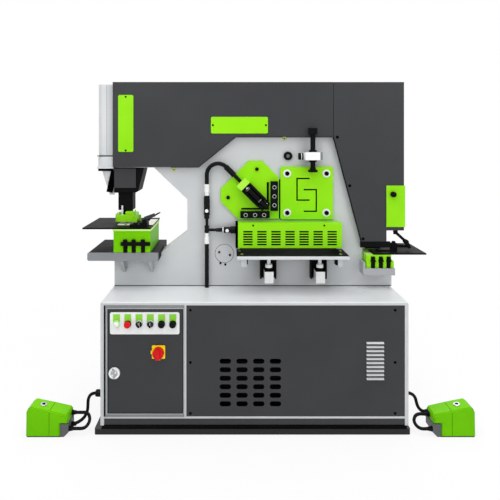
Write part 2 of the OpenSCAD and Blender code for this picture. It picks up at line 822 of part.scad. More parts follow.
// Hydraulic hold-down piston that slides along the diagonal
module clamp_piston() {
    color(black) clamp_frame() {
        rod_x(clamp_y, 0, 11, 0, 40);
        rod_x(clamp_y, 0, 17, 30, 138);
        translate([138, clamp_y, 0]) rotate([0, 90, 0]) cylinder(r1 = 17, r2 = 11, h = 14);
    }
}

// ---------- section shear ----------

module section_plate() {
    color(green) slab(sec_f, fr_f) difference() {
        round_rect(sec_x - section_side / 2, sec_x + section_side / 2, sec_z - section_side / 2,
            sec_z + section_side / 2, 10);
        section_slots(0);
    }
}

module frame_bolts() {
    color(black) {
        for (x = [-bolt_off, bolt_off], z = [-bolt_off, bolt_off]) {
            rod_y(sec_x + x, sec_z + z, 22, sec_f - 4, sec_f);
            rod_y(sec_x + x, sec_z + z, 12, sec_f - 14, sec_f - 4);
        }
        for (p = [[26, 1314], [-134, 1156]]) rod_y(p[0], p[1], 10, ang_f - 9, ang_f);
        difference() {
            rod_y(200, 1387, 24, fr_f - 14, fr_f);
            translate([200, fr_f - 6, 1387]) rotate([90, 0, 0]) cylinder(r = 11, h = 10, $fn = 6);
        }
    }
}

module spindle_bracket() {
    nut = spindle_r + 8;
    color(white) {
        difference() {
            union() {
                box(spin_x - 45, spin_x + 36, spin_y - 28, fr_f, spin_z - 22, spin_z + 22);
                translate([spin_x, spin_y, spin_z - 33]) cylinder(r = nut, h = 66, $fn = 6);
            }
            rod_z(spin_x, spin_y, spindle_r + slip, spin_z - 40, spin_z + 40);
        }
        rod_x(spin_y + 14, spin_z - 2, 19, spin_x - 77, spin_x - 45);
        box(spin_x + 36, spin_x + 55, spin_y + 4, fr_f, spin_z - 21, spin_z + 21);
    }
}

module spindle() {
    color(black) {
        rod_z(spin_x, spin_y, spindle_r, spin_z - 66, spin_z + 118);
        rod_z(spin_x, spin_y, spindle_r - 4, spin_z - 80, spin_z - 66);
        box(spin_x - 21, spin_x + 21, spin_y - 21, spin_y + 21, spin_z + 118, spin_z + 154);
    }
}

module spindle_foot() {
    color(black) difference() {
        union() {
            rod_z(spin_x, spin_y, foot_r, spin_z - 88, spin_z - 76);
            rod_z(spin_x, spin_y, spindle_r + 3, spin_z - 76, spin_z - 66 - seat);
        }
        rod_z(spin_x, spin_y, spindle_r - 4 + slip, spin_z - 80 - seat, spin_z - 60);
    }
}

// ---------- flat-bar shear ----------

module shear_guard() {
    f = fr_f - guard_d;
    z1 = gd_z0 + guard_h;
    pitch = 76;
    first = (guard_w - (guard_groups - 1) * pitch - 50) / 2;
    color(green) difference() {
        union() {
            box(gd_x0, gd_x0 + guard_w, f, f + skin, gd_z0, z1);
            box(gd_x0, gd_x0 + guard_w, f, fr_f, z1 - skin, z1);
            for (x = [gd_x0, gd_x0 + guard_w - skin]) box(x, x + skin, f, fr_f, gd_z0, z1);
        }
        for (g = [0 : guard_groups - 1], r = [0 : 5])
            box(gd_x0 + first + g * pitch, gd_x0 + first + g * pitch + 50, f - 1, f + skin + 1,
                gd_z0 + 17 + r * 13.8, gd_z0 + 23.5 + r * 13.8);
    }
}

module shear_table() {
    color(grey) box(st_x0, st_x1, fr_f - shear_table_d, fr_f, st_z - shear_table_t, st_z);
}

support_x = [gd_x0 + 168, gd_x0 + 446];
module shear_supports() {
    z1 = st_z - shear_table_t;
    color(black) {
        for (x = support_x) {
            difference() {
                box(x - 45, x + 45, fr_f - 40, fr_f, z1 - 139, z1);
                box(x - 37, x + 37, fr_f - 41, fr_f - 8, z1 - 140, z1 + 1);
            }
            box(x - 24, x + 24, fr_f - 96, fr_f - 8, z1 - 147, z1 - 84);
            rod_z(x, fr_f - 70, 10, z1 - 84, z1);
            rod_z(x, fr_f - 70, 19, z1 - 66, z1 - 48);
        }
        for (x = [st_x0 + 38, st_x1 - 32]) box(x, x + 27, fr_f - 40, fr_f, z1 - 38, z1);
    }
}

// ---------- pipework ----------

module hose_arc() {
    // From straight up, over the top, to 45 degrees down to the right
    translate([pipe_x + hose_bend, pipe_y, hose_z]) rotate([90, 0, 0]) rotate([0, 0, 45])
        rotate_extrude(angle = 135) translate([hose_bend, 0]) circle(pipe_r);
}
hose_end = [pipe_x + hose_bend + hose_bend * cos(45), pipe_y, hose_z + hose_bend * sin(45)];

module pipework() {
    run = norm([lug_face[0] - hose_end[0], lug_face[2] - hose_end[2]]);
    color(black) {
        rod_z(pipe_x, pipe_y, pipe_r, deck_z - 12, riser_top);
        rod_z(pipe_x, pipe_y, 8, riser_top + union_h + neck_h, 1060);
        rod_z(pipe_x, pipe_y, 12, tee_z - 14, tee_z + 22);
        rod_z(pipe_x, pipe_y, 17, 1060, 1160);
        rod_z(pipe_x, pipe_y, 13, 1040, 1168);
        rod_z(pipe_x, pipe_y, pipe_r, 1231, hose_z);
        rod_x(pipe_y, tee_z, 8, pipe_x, gd_x0 - 60);
        rod_x(pipe_y, tee_z, 14, gd_x0 - 88, gd_x0);
        rod_x(pipe_y, tee_z, 11, gd_x0 - 106, gd_x0 - 88);
        hose_arc();
        translate(hose_end) rotate([0, 135, 0]) {
            cylinder(r = pipe_r + 4, h = 66);
            cylinder(r = pipe_r - 1, h = run);
        }
    }
}

module pipe_fittings() {
    color(white) {
        rod_z(pipe_x, pipe_y, 13, riser_top, riser_top + union_h);
        rod_z(pipe_x, pipe_y, 10, riser_top + union_h, riser_top + union_h + neck_h);
        rod_z(pipe_x, pipe_y, 10, 1168, 1186);
        rod_z(pipe_x, pipe_y, 13.5, 1186, 1231);
    }
}

// ---------- notcher ----------

module notch_table() {
    h = notch_table_w / 2;
    color(black) difference() {
        box(notch_x + 43, side_r + 110, -h, h, nb_z1, notch_table_z);
        box(nose_x - 45, nose_x + 45, -26, 26, nb_z1 - 1, notch_table_z + 1);
    }
}

module notch_block() {
    color(green) difference() {
        slab(-notch_table_w / 2, 100) polygon([[nb_x0, notch_jaw_z], [nb_x1, notch_jaw_z], [nb_x1, notch_jaw_z + 38],
            [nb_x1 - 14, notch_jaw_z + 45], [nb_x1 - 14, nb_z1], [nb_x0, nb_z1]]);
        box(nose_x - 45, nose_x + 45, -26, 26, notch_jaw_z + 30, nb_z1 + 1);
        block_bolt_slots(notch_bolts_x, -notch_table_w / 2, notch_jaw_z, notch_jaw_z + 62);
    }
}

// Clamp bolts of the two die blocks, with the punch block's clamp bar
module clamp_bolts() {
    color(black) {
        for (x = punch_bolts) clamp_bolt(x, block_y0 + 4, bolster_z);
        box(block_x0 + 44, block_x1 - 4, block_y0 - 8, block_y0 + 4, bolster_z + 38, bolster_z + 57);
        for (x = notch_bolts_x) clamp_bolt(x, -notch_table_w / 2, notch_jaw_z);
    }
}

module clamp_bolt(x, y, z) {
    box(x - 8, x + 8, y - 6, y + 13.5, z, z + 50);
    rod_z(x, y - 1, 9, z + 36, z + 60);
}

module notch_ram() {
    color(steel) box(nose_x - 42, nose_x + 42, -gap_in + loose, gap_in - loose, notch_top_z + 2, nram_top);
}

// Guard over the cover's right edge, with its plug
module notch_guard() {
    z0 = side_foot_z + 20;
    z1 = z0 + 229;
    x0 = side_r - 99;
    color(green) {
        for (y = [cover_f - loose - 4, cover_b + loose]) box(x0, side_r + loose + 4, y, y + 4, z0, z1);
        box(side_r + loose, side_r + loose + 4, cover_f - loose - 4, cover_b + loose + 4, z0, z1);
        rod_y(x0 + 36, z1 - 48, 15, cover_f - 22, cover_f - loose - 4);
    }
}

module notch_arm() {
    color(black) difference() {
        union() {
            slab(arm_y - 6, arm_y + 6) polygon([[arm_x - 7, arm_z - 4], [arm_x + 5, arm_z + 6],
                [arm_x + 62, arm_z - 46], [arm_x + 54, arm_z - 58]]);
            rod_y(arm_x, arm_z, 9, arm_y - 6, arm_y + 6);
            rod_y(arm_x + 60, arm_z - 54, 12, arm_y - 20, arm_y + 14);
            slab(arm_y - 20, arm_y + 14) polygon([[arm_x + 50, arm_z - 58], [arm_x + 68, arm_z - 48],
                [arm_x + 84, arm_z - 84], [arm_x + 74, arm_z - 92]]);
        }
        rod_y(arm_x, arm_z, 4 + slip, arm_y - 7, arm_y + 7);
    }
}

// ---------- door ----------

plate_x0 = door_x0 + 10;
plate_x1 = door_x1 - 17;
plate_z1 = door_z1 - 17;
plate_z0 = plate_z1 - 110;
btn_pitch = (plate_x1 - plate_x0 - 66) / 5;
btn_x = [for (i = [0 : 5]) plate_x0 + 33 + i * btn_pitch];
btn_z = plate_z1 - 58;
plate_t2 = 4;
btn_f = door_f - plate_t2;
lock_x = door_x0 + 32;
lock_z = door_z1 - 322;
sw_x = door_x0 + 254;
sw_z = door_z1 - 217;

module door() {
    color(charcoal) {
        difference() {
            box(door_x0, door_x1, door_f, door_f + door_t, door_z0, door_z1);
            box(door_x0 + skin, door_x1 - skin, door_f + skin, door_f + door_t + 1, door_z0 + skin, door_z1 - skin);
            for (i = [1 : 5]) rod_y(btn_x[i], btn_z, 9, door_f - 1, door_f + skin + 1);
            rod_y(lock_x, lock_z, 12, door_f - 1, door_f + skin + 1);
            rod_y(sw_x, sw_z, 12, door_f - 1, door_f + skin + 1);
        }
        rod_z(hinge_x, hinge_y, hinge_r, door_z1 - skin, bay_z1 - 5);
        rod_z(hinge_x, hinge_y, hinge_r, bay_z0 + 5, door_z0 + skin);
    }
}

// White control plate with the lamp lens and the button sockets, and the switch's square plate
module control_plate() {
    color(white) {
        difference() {
            union() {
                slab(btn_f, door_f) round_rect(plate_x0, plate_x1, plate_z0, plate_z1, 9);
                for (x = btn_x) rod_y(x, btn_z, 18, btn_f - 4, btn_f);
                rod_y(btn_x[0], btn_z, 14, btn_f - 12, btn_f - 4);
            }
            for (i = [1 : 5]) rod_y(btn_x[i], btn_z, 7 + slip, btn_f - 6, door_f + 1);
        }
        difference() {
            slab(btn_f, door_f) round_rect(sw_x - 33, sw_x + 33, sw_z - 33, sw_z + 33, 4);
            rod_y(sw_x, sw_z, 10 + slip, btn_f - 1, door_f + 1);
        }
    }
}

// A button or knob on a stem through its socket
module knob(x, r, h, stem) {
    rod_y(x, btn_z, r, btn_f - 4 - stem - h, btn_f - 4 - stem);
    rod_y(x, btn_z, 7, btn_f - 4 - stem, door_f + 12);
}

module stop_button() {
    color(red) knob(btn_x[1], 16, 10, 5);
}

module selector(x) {
    color(black) {
        knob(x, 14, 8, seat);
        box(x - 4, x + 4, btn_f - 22, btn_f - 12 - seat, btn_z - 13, btn_z + 13);
    }
}

module selector_left() {
    selector(btn_x[2]);
}

module selector_right() {
    selector(btn_x[3]);
}

module push_button_left() {
    color(black) knob(btn_x[4], 14, 8, 5);
}

module push_button_right() {
    color(black) knob(btn_x[5], 14, 8, 5);
}

module main_switch() {
    color(red) {
        rod_y(sw_x, sw_z, 28, btn_f - 24, btn_f - seat);
        rod_y(sw_x, sw_z, 10, btn_f - seat, door_f + 14);
        box(sw_x - 9, sw_x + 9, btn_f - 36, btn_f - 24, sw_z - 26, sw_z + 26);
    }
}

module door_lock() {
    color(steel) {
        rod_y(lock_x, lock_z, 28, door_f - 10, door_f - seat);
        rod_y(lock_x, lock_z, 12 - slip, door_f - seat, door_f + skin + 4);
        box(lock_x - 5, lock_x + 5, door_f - 20, door_f - 10, lock_z - 22, lock_z + 22);
        box(lock_x - 10, lock_x + 10, door_f + skin + seat, door_f + skin + 6, lock_z - 10, lock_z + 34);
    }
}

// ---------- pedals and cables ----------

// Children drawn for a pedal whose open end is at u = 0, with u running towards the cables
module at_pedal(side) {
    translate([side < 0 ? ped_left : ped_right, 0, 0]) mirror([side < 0 ? 0 : 1, 0, 0]) children();
}

module hood_outline(w) {
    polygon([[w, 6], [2 + w, pedal_h - 27], [10 + w, pedal_h - 9 - w], [24, pedal_h - w], [118, pedal_h - 19 - w],
        [pedal_len - 8 - w, pedal_h - 37 - w], [pedal_len - w, pedal_h - 49 - w], [pedal_len - w, 66 + w],
        [172 - w, 66 + w], [172 - w, 6]]);
}

module pedal_hoods() {
    color(green) for (side = [-1, 1]) at_pedal(side) difference() {
        union() {
            slab(ped_f + 8, ped_b - 8) hood_outline(0);
            slab(ped_f + 2, ped_b - 2) hood_outline(3);
            slab(ped_f, ped_b) hood_outline(8);
        }
        slab(ped_f + pedal_wall, ped_b - pedal_wall) difference() {
            hood_outline(pedal_wall + 4);
            translate([172 - pedal_wall - 4, 0]) square([100, 66 + 8]);
        }
        box(-1, 30, ped_f + pedal_wall, ped_b - pedal_wall, 5, pedal_h - 42);
        box(20, 164, ped_f + pedal_wall, ped_b - pedal_wall, 5, 20);
        for (y = side < 0 ? left_high : right_high)
            rod_x(y, port_high, cable_d / 2 + 0.5, pedal_len - 20, pedal_len + 1);
    }
}

module pedal_bases() {
    color(charcoal) for (side = [-1, 1]) at_pedal(side) {
        difference() {
            union() {
                box(6, 172, ped_f + 2, ped_b - 2, 0, 6);
                slab(ped_f + 3, ped_b - 3) polygon([[172, 0], [190, 0], [212, 22], [212, 64], [172, 64]]);
            }
            for (y = side < 0 ? left_low : right_low)
                rod_x(y, port_low, cable_d / 2 + 0.5, 190, 213);
        }
        for (y = [ped_f + 6, ped_b - 14]) box(pin_u - 8, pin_u + 8, y, y + 8, 6, 34);
        rod_y(pin_u, 24, treadle_pin_r, ped_f + 6, ped_b - 6);
    }
}

module treadle() {
    color(black) difference() {
        union() {
            slab(ped_f + 16, ped_b - 16) polygon([[12, 44], [14, 52],
                [pin_u - 8, 34], [pin_u + 8, 30], [pin_u + 8, 18], [pin_u - 6, 18], [pin_u - 18, 28]]);
            rod_y(pin_u, 24, treadle_pin_r + 6, ped_f + 16, ped_b - 16);
        }
        rod_y(pin_u, 24, treadle_pin_r + slip, ped_f + 15, ped_b - 15);
    }
}

module treadle_left() {
    at_pedal(-1) treadle();
}

module treadle_right() {
    at_pedal(1) treadle();
}

module cable_glands() {
    color(black) for (s = [[-1, gland_r, 36], [1, cable_d / 2 + 6, 14]]) {
        x0 = s[0] < 0 ? cab_l - s[2] : cab_r;
        difference() {
            union() {
                rod_x(gland_y, gland_z, s[1] - 4, x0, x0 + s[2]);
                translate([x0 + 5, gland_y, gland_z]) rotate([0, 90, 0]) cylinder(r = s[1], h = s[2] - 10, $fn = 6);
            }
            rod_x(gland_y, gland_z, cable_d / 2 + 0.3, x0 - 1, x0 + s[2] + 1);
        }
    }
}

// Middle lines of the cables, from the cabinet or the upper port to the pedal
left_run = [[-790, -300, 178], [-813, -300, 178], [-827, -300, 175], [-840, -297, 166], [-849, -294, 151],
    [-854, -290, 132], [-856, -287, 108], [-858, -287, 84], [-865, -290, 63], [-877, -298, 47],
    [-893, -309, 38], [-908, -319, 35], [-922, -325, 34], [-935, -325, 34], [-948, -325, 34]];
left_loop = [[-936, -310, 84], [-920, -310, 84], [-900, -310, 84], [-880, -310, 84], [-864, -311, 84],
    [-849, -315, 81], [-838, -324, 72], [-833, -338, 59], [-838, -352, 46], [-849, -361, 37],
    [-864, -365, 34], [-880, -366, 34], [-900, -366, 34], [-920, -366, 34], [-947, -366, 34]];
right_run = [[779, -300, 178], [792, -300, 178], [804, -300, 175], [817, -300, 167], [827, -300, 153],
    [832, -300, 136], [837, -301, 118], [846, -302, 101], [860, -303, 89], [877, -303, 84], [896, -303, 84]];
right_loop = [[896, -325, 84], [880, -325, 84], [860, -325, 84], [838, -325, 84], [822, -328, 80],
    [810, -336, 71], [805, -346, 59], [810, -357, 47], [822, -365, 38], [838, -368, 34],
    [860, -368, 34], [880, -368, 34], [906, -368, 34]];

module cable_left() {
    color(black) tube(left_run, cable_d, [0, 1, 0]);
}

module loop_left() {
    color(black) tube(left_loop, cable_d, [0, 1, 0]);
}

module cable_right() {
    color(black) tube(right_run, cable_d, [0, 1, 0]);
}

module loop_right() {
    color(black) tube(right_loop, cable_d, [0, 1, 0]);
}

base_tray();
cabinet();
front_panels();
hydraulic_unit();
electric_board();
frame();
shear_beam();
top_cover();
side_cover();
end_cap();
ram_guide();
cover_plates();
punch_ram();
punch();
stripper();
die_block();
die();
punch_table();
table_fence();
fence_lever();
lower_table();
jaw_brackets();
angle_plate();
angle_blades();
clamp_guide();
clamp_piston();
section_plate();
frame_bolts();
spindle_bracket();
spindle();
spindle_foot();
shear_guard();
shear_table();
shear_supports();
pipework();
pipe_fittings();
notch_table();
notch_block();
clamp_bolts();
notch_ram();
notch_guard();
notch_arm();
cable_glands();
door();
control_plate();
door_lock();
main_switch();
stop_button();
selector_left();
selector_right();
push_button_left();
push_button_right();
pedal_hoods();
pedal_bases();
treadle_left();
treadle_right();
cable_left();
loop_left();
cable_right();
loop_right();
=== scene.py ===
"""Dresses the ironworker's CAD frame.

Rounded sheet edges, painted, blackened and plated finishes, screws, controls, cables and the studio.
"""

import json
import math

import bmesh
import bpy
from mathutils import Matrix, Vector


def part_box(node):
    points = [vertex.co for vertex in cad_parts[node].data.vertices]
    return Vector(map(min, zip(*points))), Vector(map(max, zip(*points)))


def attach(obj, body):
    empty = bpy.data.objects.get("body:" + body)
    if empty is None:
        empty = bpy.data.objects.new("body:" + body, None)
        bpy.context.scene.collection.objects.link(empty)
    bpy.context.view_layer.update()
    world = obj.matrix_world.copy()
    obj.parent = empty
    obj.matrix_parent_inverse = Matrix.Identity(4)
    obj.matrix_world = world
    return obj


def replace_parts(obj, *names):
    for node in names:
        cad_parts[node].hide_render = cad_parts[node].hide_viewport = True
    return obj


bl_info = {
    "name": "Ironworker Looks",
    "version": (1, 1, 0),
    "blender": (4, 5, 0),
    "location": "3D View > Sidebar > Ironworker",
    "description": "Finishes, small parts and studio for a hydraulic ironworker",
    "category": "Object",
}

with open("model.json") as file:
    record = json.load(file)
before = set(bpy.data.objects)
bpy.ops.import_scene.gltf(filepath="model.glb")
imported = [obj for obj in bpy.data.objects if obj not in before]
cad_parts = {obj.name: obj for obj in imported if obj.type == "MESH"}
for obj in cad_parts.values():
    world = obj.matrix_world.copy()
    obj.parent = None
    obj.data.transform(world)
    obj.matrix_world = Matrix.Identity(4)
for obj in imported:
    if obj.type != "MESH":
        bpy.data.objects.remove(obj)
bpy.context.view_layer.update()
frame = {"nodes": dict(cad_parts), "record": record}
MM = 0.001
MERGE = 1e-6  # in metres: corners closer than this are one
FRONT = (0, -1, 0)


def edge(node, end, axis):
    """Where a frame piece's box begins, with end 0, or ends, with end 1, along an axis, in millimetres."""
    return getattr(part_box(node)[end], axis) / MM


# Faces of the frame that the small parts sit on, in millimetres
DOOR_Y = edge("door", 0, "y")
PLATE_Y = DOOR_Y - 4
RING_Y = -352.8
COVER_Y = edge("side_cover", 0, "y")
FRAME_Y = edge("shear_table", 1, "y")
GUARD_Y = edge("shear_guard", 0, "y")
BLADE_Y = edge("angle_blades", 0, "y")
SECTION_Y = edge("section_plate", 0, "y")
BOSS_Y = -84.0
PEDAL_Y = edge("pedal_hoods", 0, "y")
DECK_TOP = edge("cabinet", 1, "z")
SHEAR_BOTTOM = edge("shear_table", 0, "z")
SHEAR_TOP = edge("shear_table", 1, "z")
NOTCH_TOP = edge("notch_table", 1, "z")

# Places on them: X across, Y deep and Z up
BUTTONS = (-693.0, -636.4, -579.8, -523.2, -466.6, -410.0)
BUTTON_Z = 552.0
SWITCH = (-482.0, 410.0)
LOCK = (-704.0, 305.0)
FRAME_ENDS = (-769.0, 779.0)
CAP_TOP, CAP_SEAM, CAP_FOOT = 1783, 1391, 1316
PUNCH_X = -714.0
GUIDE = (-729, -52, 1056)
GUARD_SLOTS, SLOT_PITCH = (-51.5, 907.0), (76, 13.8)
SECTION_MIDDLE, SECTION_BOLT = (303, 1181), 109
CLAMP_TOP = Vector((-52, -110, 1233))
DOWNHILL, UPHILL = Vector((1, 0, -1)).normalized(), Vector((1, 0, 1)).normalized()  # 45 degrees, towards +X
SPINDLE = (331.0, -125.0, 1388.0)
PIPE = (-252.0, -95.0)
CROSSING_Z = 978
PEDALS = ((1, -1139.0), (-1, 1098.0))  # direction inwards, and X of the outer end
GLAND_Z, PORT_HIGH, PORT_LOW = 178, 84, 34

# Studio, in metres: the floor, and where the camera stands
FLOOR_RADIUS = 9
EYE = (-0.118, -2.85, 1.476)
WHITE = (1, 1, 1, 1)


# --- materials


def linear(code):
    """An sRGB hex colour as linear red, green, blue and alpha."""
    parts = [int(code.lstrip("#")[i : i + 2], 16) / 255 for i in (0, 2, 4)]
    return [c / 12.92 if c <= 0.04045 else ((c + 0.055) / 1.055) ** 2.4 for c in parts] + [1.0]


def add(tree, kind, inputs=None, **settings):
    """Adds a node with its settings, and links or sets its inputs."""
    node = tree.nodes.new(kind)
    for name, value in settings.items():
        setattr(node, name, value)
    for key, value in (inputs or {}).items():
        if isinstance(value, bpy.types.NodeSocket):
            tree.links.new(value, node.inputs[key])
        else:
            node.inputs[key].default_value = value
    return node


def blank(name):
    """An empty material, its tree and its object coordinates."""
    mat = bpy.data.materials.new(name)
    mat.use_nodes = True
    tree = mat.node_tree
    tree.nodes.clear()
    return mat, tree, add(tree, "ShaderNodeTexCoord").outputs["Object"]


def pattern(tree, place, size_mm, detail, grit=0.5, stretch=(1, 1, 1), levels=(0.3, 0.7), spread=(0.0, 1.0)):
    """Blotches about size_mm across, spread over a range between two levels of their noise."""
    place = add(tree, "ShaderNodeMapping", {"Vector": place, "Scale": stretch}).outputs["Vector"]
    inputs = {"Vector": place, "Scale": 1 / (size_mm * MM), "Detail": detail, "Roughness": grit}
    inputs = {
        "Value": add(tree, "ShaderNodeTexNoise", inputs).outputs["Fac"],
        "From Min": levels[0], "From Max": levels[1], "To Min": spread[0], "To Max": spread[1],
    }
    return add(tree, "ShaderNodeMapRange", inputs).outputs["Result"]


def worn(tree, place, paint, below, radius_mm, amount):
    """Paint rubbed through to what is below it, in patches along the edges."""
    bevel = add(tree, "ShaderNodeBevel", {"Radius": radius_mm * MM}, samples=4).outputs["Normal"]
    flat = add(tree, "ShaderNodeNewGeometry").outputs["Normal"]
    turn = add(tree, "ShaderNodeVectorMath", {0: bevel, 1: flat}, operation="DOT_PRODUCT").outputs["Value"]
    inputs = {"Value": turn, "From Min": 0.90, "From Max": 0.99, "To Min": amount, "To Max": 0.0}
    rubbed = add(tree, "ShaderNodeMapRange", inputs).outputs["Result"]
    patches = pattern(tree, place, 22, 5, levels=(0.52, 0.62))
    both = add(tree, "ShaderNodeMath", {0: rubbed, 1: patches}, operation="MULTIPLY").outputs["Value"]
    inputs = {"Factor": both, "A": paint, "B": linear(below)}
    return add(tree, "ShaderNodeMix", inputs, data_type="RGBA").outputs["Result"]


def finish(name, dark, pale, tone, sheen, rough, relief=None, wear=None, **more):
    """A finish whose tone, sheen and relief each follow a pattern of their own.

    relief is its pattern, its depth in millimetres and its strength, wear is what worn takes after the paint,
    and more holds other inputs of the shader, with _ for a space.
    """
    mat, tree, place = blank(name)
    inputs = {"Factor": pattern(tree, place, *tone), "A": linear(dark), "B": linear(pale)}
    paint = add(tree, "ShaderNodeMix", inputs, data_type="RGBA").outputs["Result"]
    if wear:
        paint = worn(tree, place, paint, *wear)
    inputs = {key.replace("_", " "): value for key, value in more.items()}
    inputs.update({"Base Color": paint, "Roughness": pattern(tree, place, *sheen, spread=rough)})
    if relief:
        blotches, depth_mm, strength = relief
        height = pattern(tree, place, *blotches, levels=(0, 1))
        bump = {"Height": height, "Strength": strength, "Distance": depth_mm * MM}
        inputs["Normal"] = add(tree, "ShaderNodeBump", bump).outputs["Normal"]
    shader = add(tree, "ShaderNodeBsdfPrincipled", inputs)
    add(tree, "ShaderNodeOutputMaterial", {"Surface": shader.outputs["BSDF"]})
    return mat


def powder_coat(name, dark, pale, gloss=0.42, wear=0.0, below="#9A9C9E", mirror=0.4, peel_mm=0.05, vary=0.035):
    """Powder coat, sprayed dry and baked: an even colour with a soft sheen and a fine orange peel."""
    peel = (5, 2)  # orange peel of 1 to 2 mm, drawn 5 mm across so that it shows
    return finish(
        name, dark, pale, (260, 2), (60, 4), (gloss - vary, gloss + vary), (peel, peel_mm, 0.35),
        (below, 2.5, wear) if wear else None, Specular_IOR_Level=mirror,
    )


def ground_steel(name, dark="#8E9194", pale="#C9CCCE"):
    """Mild steel, ground flat: a grey metal with long fine grinding lines."""
    lines = (30, 6, 0.7, (1, 14, 14))  # grit lines of 0.1 mm, drawn 2 mm wide
    return finish(name, dark, pale, lines, lines, (0.28, 0.5), (lines, 0.03, 0.25), Metallic=1.0)


def plated(name, dark="#A9AEB3", pale="#D8DBDD", rough=0.22):
    """Plated steel, as on screws: bright and cloudy."""
    return finish(name, dark, pale, (8, 3), (8, 3), (rough, rough + 0.18), Metallic=1.0)


def moulded(name, dark, pale, rough=0.35, mirror=0.45):
    """Moulded ABS or nylon: one colour with a fine spark-eroded grain."""
    grain = (3, 2)  # a 0.3 mm grain, drawn coarser
    rough = (rough - 0.05, rough + 0.08)
    return finish(name, dark, pale, (70, 3), grain, rough, (grain, 0.04, 0.25), Specular_IOR_Level=mirror)


def sheath(name, dark="#060606", pale="#0F0F10", gloss=0.42):
    """Rubber cable sheath or hose cover: black, faintly mottled and a little rough to the light."""
    rough = (gloss, gloss + 0.16)
    return finish(name, dark, pale, (12, 4), (12, 4), rough, ((3, 3), 0.06, 0.3), Specular_IOR_Level=0.1)


def lamp_lens(name):
    """Diffusing lamp lens of frosted polycarbonate, with moulded rings."""
    mat, tree, place = blank(name)
    settings = {"wave_type": "RINGS", "rings_direction": "Y"}
    rings = add(tree, "ShaderNodeTexWave", {"Vector": place, "Scale": 180.0}, **settings)
    inputs = {"Factor": rings.outputs["Fac"], "A": linear("#DDE2E4"), "B": linear("#FAFBFB")}
    colour = add(tree, "ShaderNodeMix", inputs, data_type="RGBA").outputs["Result"]
    inputs = {
        "Base Color": colour, "Roughness": 0.25, "Subsurface Weight": 0.2, "Subsurface Radius": (0.003, 0.003, 0.003),
    }
    shader = add(tree, "ShaderNodeBsdfPrincipled", inputs)
    add(tree, "ShaderNodeOutputMaterial", {"Surface": shader.outputs["BSDF"]})
    return mat


MATERIALS = {}


def mix_finishes(c):
    """Makes every finish, three of them from the chosen colours."""
    MATERIALS.update(
        light=powder_coat("Powder coat light grey", c.shell_low, c.shell_high, 0.36, 0.2, "#A5A7A9"),
        # A lighter copy of the grey paint, painted light and reflection on the deck's upward faces
        deck=powder_coat(
            "Powder coat light grey, deck", "#D9DBDD", "#E1E3E5", 0.3, mirror=0.5, peel_mm=0, vary=0,
        ),
        charcoal=powder_coat("Powder coat charcoal", c.cover_low, c.cover_high, 0.46, 0.2, "#5E6062", 0.3),
        green=powder_coat("Powder coat lime", c.accent_low, c.accent_high, 0.36, 0.3, "#4E7F0C", 0.15),
        # Painted highlight on the top rims of the green blocks
        lime_pale=powder_coat("Powder coat lime, rubbed pale", "#B4E868", "#CDF393", 0.4, 0.3, "#D9DBDD", 0.3),
        # Lit and shaded copies of one lime: the darker one is painted shade on fronts and sides, the lighter one
        # painted light on tops
        lime_deep=powder_coat("Powder coat lime, pedal", "#66BA02", "#70C604", 0.42, 0.2, "#3E6A08", 0.06),
        lime_top=powder_coat("Powder coat lime, pedal top", "#6EC203", "#78CE05", 0.4, 0.2, "#3E6A08", 0.06),
        lime_lug=powder_coat("Powder coat lime, lug", "#A2EA34", "#AEF044", 0.34, 0.2, "#5E940F", 0.25),
        tray=powder_coat("Powder coat black", "#060607", "#0C0D0E", 0.25, 0.2, "#3A3C3F", 0.35),
        coal=powder_coat("Powder coat black, matt", "#070708", "#0D0E0F", 0.55, 0.25, "#34373A", 0.07),
        # Black for black parts, and painted shade on unlit inner walls, in gaps and in holes
        void=powder_coat("Unlit inner walls, primed black", "#030303", "#060607", 0.8, 0, mirror=0),
        # Painted shade in the gap at the door bay's left side
        seam=powder_coat("Shadow gap primer", "#3C3E41", "#4A4C4F", 0.6, 0, mirror=0.1),
        grey=powder_coat("Painted bolster grey", "#7A7D80", "#8D9093", 0.42, 0.35, "#B5B7B9"),
        ring=powder_coat("Door ring grey", "#7B7E81", "#86898C", 0.4, 0.2),
        pale_grey=powder_coat("Painted jaw grey", "#9FA2A5", "#AFB2B5", 0.4, 0.3),
        pedal_grey=powder_coat("Pedal base grey", "#545557", "#5E5F61", 0.45, 0.3, "#8A8C8E", 0.3),
        silver=powder_coat("Powder coat silver", "#CDD0D3", "#D9DBDD", 0.34, 0.15),
        white=powder_coat("Enamel white", "#EFF0F0", "#FAFAFA", 0.3),
        cream=powder_coat("Ground die plate, oiled", "#E2E0D2", "#F2F0E4", 0.3),
        gloss=powder_coat("Pipe enamel black", "#050506", "#0A0B0C", 0.26, 0, mirror=0.14, peel_mm=0.02),
        steel=ground_steel("Ground steel"),
        dark_steel=ground_steel("Beam steel, oiled", "#0F1011", "#1C1D1F"),
        bolt=plated("Zinc plate"),
        chrome=plated("Chrome plate", "#C9CCCF", "#E2E4E6", 0.12),
        chromate=plated("Yellow chromate plate", "#9FAE57", "#C3CE7E", 0.3),
        red=moulded("Moulded ABS red", "#CE0712", "#DE0C18", 0.3, mirror=0.2),
        yellow=moulded("Moulded ABS yellow", "#FADB00", "#FFE600", 0.35, mirror=0.2),
        white_plastic=moulded("Moulded ABS white", "#E2E4E5", "#F1F2F2", 0.32),
        black_plastic=moulded("Moulded nylon black", "#050606", "#0A0B0C", 0.36, mirror=0.1),
        label=moulded("Engraved laminate lime", "#7CC628", "#8BD532", 0.4),
        rubber=sheath("Rubber cable sheath"),
        hose=sheath("Braided hose cover", "#070708", "#111213", 0.32),
        lens=lamp_lens("Frosted polycarbonate"),
    )


# --- shapes


def placed(name, data):
    """A new object at the origin of the scene."""
    ob = bpy.data.objects.new(name, data)
    bpy.context.scene.collection.objects.link(ob)
    return ob


